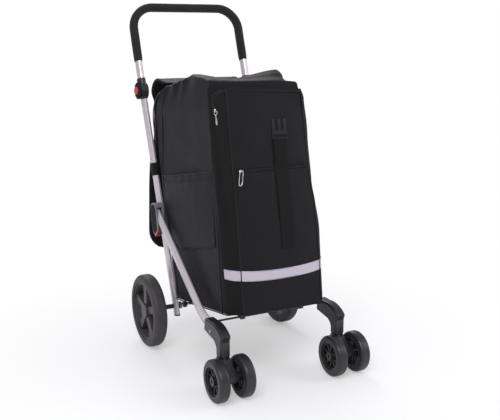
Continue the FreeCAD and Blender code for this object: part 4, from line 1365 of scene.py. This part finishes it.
@dataclass
class SidePocket:
    """Patch pocket on one side of the bag, with an elastic hem."""

    side: int
    rows: int = 26
    columns: int = 40
    swell: float = 7.0
    rear: float = 30.0
    run: float = 322.0
    hem_rear: tuple[float, float] = (36.0, 467.0)
    hem_slope: float = 0.187
    bottom: Table = (
        (-310.0, 344.0), (-220.0, 322.0), (-120.0, 297.0), (-65.0, 283.0), (-30.0, 294.0),
        (0.0, 326.0), (18.0, 372.0), (27.0, 412.0), (32.0, 440.0))
    edging: float = 0.0013
    binding: float = 0.0019

    def edges(self, along: float) -> tuple[float, float]:
        """Lowest and highest edge of the patch at a distance from the axle, in millimetres."""
        start, height = self.hem_rear
        return along_table(self.bottom, along), height + (start - along) * self.hem_slope

    def side_x(self, y: float, height: float) -> float:
        """Outer face of the bag's side, in millimetres."""
        share = CUT.share_at(height, y)
        return abs(CUT.drawn(self.side * CUT.between(share).half_width, y, share))

    def point(self, along: float, up: float, lift: float = 0.0) -> Vector:
        """Point of the patch.

        Args:
            along: 0 at the rear edge, 1 at the front edge.
            up: 0 at the bottom edge, 1 at the hem.
            lift: Extra distance outside, in millimetres.

        Returns:
            The point in metres.
        """
        y = self.rear - self.run * along
        low, high = self.edges(y)
        height = low + (high - low) * up
        across = min(1.0, 3.2 * min(along, 1 - along)) ** 0.7
        rise = min(1.0, 2.2 * up) ** 0.8
        hem = 1 - 0.22 * ease(0.9, 1.0, up)
        seed = Vector((self.side * 0.3, y * 0.001, height * 0.001))
        drift = noise.noise(seed * 12) * 1.3 + noise.noise(seed * 30) * 0.5
        pucker = 0.6 * math.sin(y * 0.11 + 2 * noise.noise(seed * 8)) * ease(0.72, 0.98, up)
        out = 1.4 + (self.swell + drift) * across * rise * hem + pucker * across
        sag = -2.0 * math.sin(math.pi * along) * ease(0.7, 1.0, up)
        return spot(self.side * (self.side_x(y, height) + out + lift), y, height + sag)

    def build(self) -> None:
        """Make the patch, its hem and its stitching."""
        name = "right" if self.side > 0 else "left"
        rows = [[self.point(i / self.columns, j / self.rows) for i in range(self.columns + 1)]
                for j in range(self.rows + 1)]
        patch = skin(f"side_pocket_cloth_{name}", rows, False)
        outward = sum((p.normal.x for p in patch.data.polygons), 0.0) * self.side
        thicken(patch, 0.0013, -1.0 if outward > 0 else 1.0)
        dress(patch, Finish.CLOTH)
        CUT.settle(patch, "bag_cloth", f"side_pocket_{name}")
        trim = bmesh.new()
        border = [self.point(0.0, 1 - j / 20) for j in range(21)]
        border += [self.point(i / 40, 0.0) for i in range(1, 41)]
        border += [self.point(1.0, j / 20) for j in range(1, 21)]
        add_tube(trim, border, self.edging)
        add_tube(trim, [self.point(i / 60, 1.0, -0.6) for i in range(61)], self.binding)
        CUT.sew(f"side_pocket_edging_{name}", trim, Finish.PIPING)
        thread = bmesh.new()
        for up in (0.915, 0.895):
            add_stitches(thread, [self.point(i / 80, up, 0.25) for i in range(2, 79)])
        CUT.sew(f"side_pocket_stitches_{name}", thread, Finish.THREAD)
        LOG.info("%s side pocket built", name)


@dataclass
class LidFlap:
    """Padded lid that is sewn to the rear rim and hangs down behind the frame."""

    half_width: float = 118.0
    thickness: float = 0.0048
    corner: float = 62.0
    bottom: float = 216.0
    flare: float = 9.0
    waist: float = 9.0
    sewn: tuple[float, float] = (56.0, 716.0)
    arch_start: tuple[float, float] = (60.0, 8.0)
    arch_centre: tuple[float, float] = (116.0, 674.0)
    arch_radius: float = 50.0
    hang_start: tuple[float, float] = (166.0, 672.0)
    lean: float = 24.0
    binding: float = 0.0031
    columns: int = 30

    def line(self) -> list[tuple[float, float]]:
        """Centre line of the lid from the rim over the arch and down, in millimetres."""
        (y, height), (back, rise), (middle, low) = self.sewn, self.arch_start, self.arch_centre
        points = [self.sewn]
        for index in range(1, 9):
            part = index / 8
            points.append((y + back * part, height + rise * ease(0.0, 1.0, part)))
        for index in range(1, 11):
            turn = index / 10 * math.radians(88)
            y, height = middle + self.arch_radius * math.sin(turn), low + self.arch_radius * math.cos(turn)
            points.append((y, height))
        y, height = self.hang_start
        steps = 44
        for index in range(1, steps + 1):
            part = index / steps
            wave = 1.6 * math.sin(part * 9)
            points.append((y + self.lean * part + wave, height + (self.bottom - height) * part))
        return points

    def rows(self) -> Rows:
        """Rows of points across the lid, with rounded lower corners."""
        line = self.line()
        found: Rows = []
        for index, (y, height) in enumerate(line):
            left = height - self.bottom
            half = self.half_width + self.flare * ease(600.0, 400.0, height)
            half -= self.waist * ease(690.0, 655.0, height) * ease(470.0, 560.0, height)
            if index > 20 and left < self.corner:
                half -= self.corner - math.sqrt(max(self.corner ** 2 - (self.corner - left) ** 2, 0.0))
            row = []
            for step in range(self.columns + 1):
                part = 2 * step / self.columns - 1
                seed = Vector((part * 0.7, index * 0.06, 2.0))
                drift = noise.noise(seed * 2.2) * 1.8 * (1 - part ** 4)
                hang = ease(0.0, 20.0, index)
                row.append(spot(part * half, y + drift * hang, height + drift * (1 - hang) * 0.5))
            found.append(row)
        return found

    def build(self) -> None:
        """Make the lid, its binding and its quilting stitches."""
        rows = self.rows()
        lid = skin("lid_cloth", rows, False)
        thicken(lid, self.thickness, 0.0)
        dress(lid, Finish.CLOTH)
        hang(lid, "lid", "bag_cloth", "lid_flap")
        border = [row[0] for row in rows] + rows[-1][1:] + [row[-1] for row in reversed(rows)]
        edging = bmesh.new()
        add_tube(edging, border[1:-1], self.binding, 10)
        hang(dress(from_bmesh("lid_binding", edging), Finish.PIPING), "lid", "webbing")
        thread = bmesh.new()
        lift = Vector((0, self.thickness / 2 + 0.0002, 0))
        for column in (1, -2):
            add_stitches(thread, [row[column] + lift for row in rows[20:-3]])
        for index in (28, 40, 52):
            add_stitches(thread, [point + lift for point in rows[index][1:-1]])
        hang(dress(from_bmesh("lid_stitches", thread), Finish.THREAD), "lid", "webbing")
        LOG.info("lid built")


# ------------------------------------------------------------------ drawcord and grip


@dataclass
class Drawcord:
    """The drawcord's two ends, the knot that joins them and the tail below it."""

    diameter: float = 0.0032
    knot_centre: Vector = field(default_factory=lambda: spot(-141.0, 92.0, 585.0))
    first: Route = (
        (-130, 58.5, 696), (-134, 76, 690), (-141, 92, 660), (-144, 97, 625), (-142.8, 93, 589.8))
    second: Route = (
        (-112, 58.5, 696), (-118, 72, 686), (-130, 84, 656), (-137, 90, 625), (-139.2, 91.5, 589.8))
    tail: Route = (
        (-141.2, 91.8, 580.2), (-141, 87, 560), (-144, 86, 540), (-143, 80, 520))

    def strand(self, name: str, route: Route) -> Piece:
        """Smooth curve of one run of cord.

        Args:
            name: The piece's name.
            route: Points of the route in millimetres.

        Returns:
            The curve object.
        """
        curve = bpy.data.curves.new(name, "CURVE")
        curve.dimensions = "3D"
        curve.bevel_depth = self.diameter / 2
        curve.bevel_resolution = 3
        curve.resolution_u = 16
        curve.use_fill_caps = True
        spline = curve.splines.new("NURBS")
        spline.points.add(len(route) - 1)
        for point, place in zip(spline.points, route):
            point.co = (*spot(*place), 1.0)
        spline.order_u = 3
        spline.use_endpoint_u = True
        piece = bpy.data.objects.new(name, curve)
        bpy.context.scene.collection.objects.link(piece)
        return dress(piece, Finish.CORD)

    def length(self, piece: Piece) -> float:
        """Length of a strand's centre line, in metres."""
        bare = piece.data.copy()
        bare.bevel_depth = 0.0
        ghost = bpy.data.objects.new("measure", bare)
        bpy.context.scene.collection.objects.link(ghost)
        view = bpy.context.evaluated_depsgraph_get()
        mesh = bpy.data.meshes.new_from_object(ghost.evaluated_get(view))
        points = [vertex.co.copy() for vertex in mesh.vertices]
        bpy.data.objects.remove(ghost)
        bpy.data.meshes.remove(mesh)
        bpy.data.curves.remove(bare)
        return sum((b - a).length for a, b in zip(points, points[1:]))

    def knot(self) -> Piece:
        """Small tight overhand knot."""
        points = []
        steps = 72
        for index in range(steps):
            turn = 2 * math.pi * index / steps
            out = 2 + math.cos(3 * turn)
            x, y, z = out * math.cos(2 * turn), out * math.sin(2 * turn), math.sin(3 * turn)
            points.append(self.knot_centre + Vector((x * 0.95, z * 1.5, y * 1.05)) * 0.001)
        built = bmesh.new()
        add_tube(built, points, 0.00145, 8, True)
        return dress(from_bmesh("drawcord_knot", built), Finish.CORD)

    def build(self) -> None:
        """Make the strands and the knot."""
        hang(self.knot(), "rear_frame", "cord", "cord_knot")
        runs = (("drawcord_end_a", self.first, "drawcord_a", "knot"),
                ("drawcord_end_b", self.second, "drawcord_b", "knot"),
                ("drawcord_loose_tail", self.tail, "drawcord_tail", "bare"))
        for name, route, node, far_end in runs:
            piece = hang(self.strand(name, route), "rear_frame", "cord", node)
            round(self.length(piece), 4)
        LOG.info("drawcord built")


@dataclass
class FoamGrip:
    """Foam sleeve over the whole upper part of the U handle, wrinkled inside its bends."""

    plane: float = 163.0
    lean: float = 18.5
    start: float = 82.0
    rise: float = 238.0
    radius: float = 62.0
    half_depth: float = 15.6
    half_width: float = 11.6
    joint: tuple[float, float] = (120.0, 694.0)
    wrinkle: float = 1.5
    upright_steps: int = 14
    bend_steps: int = 24
    top_steps: int = 20
    sides: int = 28

    def on_handle(self, x: float, rise: float, out: float = 0.0) -> Vector:
        """Point in the handle's slanted plane.

        Args:
            x: Distance from the middle, in millimetres.
            rise: Distance up the handle from its joint.
            out: Distance behind the plane.

        Returns:
            The point in metres.
        """
        lean = math.radians(self.lean)
        y, height = self.joint
        y = y + rise * math.sin(lean) + out * math.cos(lean)
        return spot(x, y, height + rise * math.cos(lean) - out * math.sin(lean))

    def centre_line(self) -> list[tuple[float, float, float, float]]:
        """Place across, rise, direction of the outer side and how far inside a bend."""
        found = []
        straight = self.rise - self.radius - self.start
        for index in range(self.upright_steps + 1):
            found.append((self.plane, self.start + straight * index / self.upright_steps, 0.0, 0.0))
        centre_x, centre_rise = self.plane - self.radius, self.rise - self.radius
        for index in range(1, self.bend_steps + 1):
            turn = index / self.bend_steps * math.pi / 2
            bend = math.sin(index / self.bend_steps * math.pi)
            across, up = centre_x + self.radius * math.cos(turn), centre_rise + self.radius * math.sin(turn)
            found.append((across, up, turn, bend))
        first_half = list(found)
        for index in range(1, self.top_steps + 1):
            found.append((centre_x * (1 - 2 * index / self.top_steps), self.rise, math.pi / 2, 0.0))
        return found + [(-x, rise, math.pi - turn, bend) for x, rise, turn, bend in reversed(first_half)]

    def build(self) -> None:
        """Make the sleeve."""
        rows: Rows = []
        line = self.centre_line()
        for index, (x, rise, turn, bend) in enumerate(line):
            closing = min(index, len(line) - 1 - index)
            rounding = (0.90, 0.97, 1.0)[min(closing, 2)]
            row = []
            for step in range(self.sides):
                angle = 2 * math.pi * step / self.sides
                inner = max(0.0, -math.cos(angle))
                wrinkle = self.wrinkle * bend * inner * math.cos(index * math.pi * 0.8)
                drift = 0.25 * noise.noise(Vector((x * 0.03, rise * 0.03, angle)))
                width = (self.half_width + wrinkle + drift) * rounding * math.cos(angle)
                depth = (self.half_depth + drift) * rounding * math.sin(angle)
                row.append(self.on_handle(x + width * math.cos(turn), rise + width * math.sin(turn), depth))
            rows.append(row)
        for place in (0, -1):
            middle = sum(rows[place], Vector()) / len(rows[place])
            inner = [middle.lerp(point, 0.74) for point in rows[place]]
            rows = [inner] + rows if place == 0 else rows + [inner]
        grip = skin("foam_sleeve", rows, True)
        thicken(grip, 0.0)
        dress(grip, Finish.FOAM)
        hang(grip, "handle", "foam", "foam_grip")
        LOG.info("foam grip built")


# ------------------------------------------------------------------ frame


@dataclass
class HardParts:
    """Finishes of the pieces that keep the frame's own shape."""

    finishes: dict[Finish, tuple[str, ...]] = field(default_factory=lambda: {
        Finish.TUBE: ("main_tube_left", "main_tube_right", "rear_cross_tube", "handle_tube",
                      "front_leg_left", "front_leg_right"),
        Finish.STEEL: ("rear_axle", "fold_pins", "frame_rivets", "front_rivets", "caster_axle_left",
                       "caster_axle_right"),
        Finish.WIRE: ("wire_base", "front_cross_wire"),
        Finish.BLACK: ("tube_end_plugs", "axle_sleeves", "knuckle_top_left", "knuckle_top_right",
                       "knuckle_base_left", "knuckle_base_right"),
        Finish.GREY: ("base_clamps", "latch_housing_left", "latch_housing_right"),
        Finish.FACE: ("latch_covers", "knuckle_covers"),
        Finish.RED: ("push_button_left", "push_button_right", "latch_tab_left", "latch_tab_right"),
        Finish.RUBBER: ("rear_tyre_left", "rear_tyre_right"),
        Finish.RIM: ("rear_rim_left", "rear_rim_right"),
        Finish.CASTER: ("caster_hub_left", "caster_hub_right", "caster_wheel_outer_left",
                        "caster_wheel_inner_left", "caster_wheel_outer_right", "caster_wheel_inner_right"),
        Finish.ARM: ("caster_arm_left", "caster_arm_right"),
        Finish.BOARD: ("bag_base_board",),
        Finish.WEBBING: ("tube_bands",),
    })

    def build(self) -> None:
        """Dress every carried-over piece."""
        for finish, names in self.finishes.items():
            for name in names:
                dress(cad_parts[name], finish)
        LOG.info("frame pieces dressed")


# ------------------------------------------------------------------ studio


@dataclass
class Studio:
    """Pale floor, soft lamps and the camera."""

    target: Vector = field(default_factory=lambda: spot(3.6, -200.0, 401.0))
    azimuth: float = -27.87
    pitch: float = 12.39
    distance: float = 2.0788
    lens: float = 57.67
    lift: float = 0.35
    floor_radius: float = 9.0
    lamps: tuple[tuple[str, tuple[float, float, float], float, float], ...] = (
        ("key_lamp", (-1.6, -2.2, 2.6), 1.8, 62.0),
        ("fill_lamp", (2.4, -1.6, 1.6), 1.8, 26.0),
        ("back_lamp", (0.4, 2.4, 2.2), 1.6, 30.0))

    def camera(self) -> None:
        """Place the camera."""
        turn, tilt = math.radians(self.azimuth), math.radians(self.pitch)
        away = Vector((math.sin(turn) * math.cos(tilt), -math.cos(turn) * math.cos(tilt), math.sin(tilt)))
        lens = bpy.data.cameras.new("camera")
        lens.lens = self.lens
        lens.sensor_width = 36.0
        lens.sensor_fit = "HORIZONTAL"
        camera = bpy.data.objects.new("camera", lens)
        camera.location = self.target + away * self.distance
        camera.rotation_euler = (-away).to_track_quat("-Z", "Y").to_euler()
        bpy.context.scene.collection.objects.link(camera)
        bpy.context.scene.camera = camera

    def lamp(self, name: str, place: Vector, size: float, watts: float) -> None:
        """Add a square soft lamp aimed at the trolley.

        Args:
            name: The lamp's name.
            place: Where it hangs, in metres.
            size: Side of its square.
            watts: Its power.
        """
        light = bpy.data.lights.new(name, "AREA")
        light.shape = "SQUARE"
        light.size = size
        light.energy = watts
        lamp = bpy.data.objects.new(name, light)
        lamp.location = place
        lamp.rotation_euler = (self.target - place).to_track_quat("-Z", "Y").to_euler()
        bpy.context.scene.collection.objects.link(lamp)

    def world(self) -> None:
        """Even light from all round, and white behind the trolley."""
        world = bpy.data.worlds.new("studio")
        world.use_nodes = True
        tree = world.node_tree
        tree.nodes.clear()
        output = tree.nodes.new("ShaderNodeOutputWorld")
        mix = tree.nodes.new("ShaderNodeMixShader")
        seen = tree.nodes.new("ShaderNodeBackground")
        seen.inputs[0].default_value = (1.0, 1.0, 1.0, 1.0)
        round_light = tree.nodes.new("ShaderNodeBackground")
        round_light.inputs[0].default_value = (0.93, 0.94, 1.0, 1.0)
        round_light.inputs[1].default_value = 0.55
        rays = tree.nodes.new("ShaderNodeLightPath")
        tree.links.new(rays.outputs["Is Camera Ray"], mix.inputs[0])
        tree.links.new(round_light.outputs[0], mix.inputs[1])
        tree.links.new(seen.outputs[0], mix.inputs[2])
        tree.links.new(mix.outputs[0], output.inputs[0])
        bpy.context.scene.world = world

    def floor(self) -> None:
        """Large pale disc under the wheels."""
        built = bmesh.new()
        bmesh.ops.create_circle(built, cap_ends=True, segments=96, radius=self.floor_radius)
        disc = from_bmesh("floor", built)
        disc.location.z = -0.0005
        graph = Graph("floor_paint")
        clouds = graph.grain(1.5, 2.0)
        colour = graph.blend(clouds, (0.93, 0.93, 0.935), (0.95, 0.95, 0.95))
        graph.finish(colour, 0.8)
        glow = graph.add("ShaderNodeEmission")
        away = graph.add("ShaderNodeVectorMath", operation="LENGTH")
        far = graph.feed(away, {0: graph.place}).outputs["Value"]
        rays = graph.add("ShaderNodeLightPath").outputs["Is Camera Ray"]
        lifted = graph.mathematics("ADD", graph.ramp(far, 0.35, 1.1), self.lift)
        white = graph.mathematics("MULTIPLY", lifted, rays)
        both = graph.add("ShaderNodeMixShader")
        graph.feed(both, {0: white, 1: graph.shader.outputs[0], 2: glow.outputs[0]})
        output = next(node for node in graph.tree.nodes if node.bl_idname == "ShaderNodeOutputMaterial")
        graph.feed(output, {0: both.outputs[0]})
        disc.data.materials.append(graph.material)

    def build(self) -> None:
        """Make the studio."""
        bpy.context.scene.view_settings.view_transform = "Standard"
        self.camera()
        self.world()
        self.floor()
        for name, place, size, watts in self.lamps:
            self.lamp(name, Vector(place), size, watts)
        LOG.info("studio built")


def main() -> None:
    """Build and dress the whole trolley."""
    logging.basicConfig(level=logging.INFO, format="%(message)s")
    Studio().build()
    Drawcord().build()
    HardParts().build()
    FoamGrip().build()
    BagBody().build()
    POCKET.build()
    Trim().build()
    for side in (-1, 1):
        SidePocket(side).build()
    LidFlap().build()


if __name__ == "__main__":
    main()
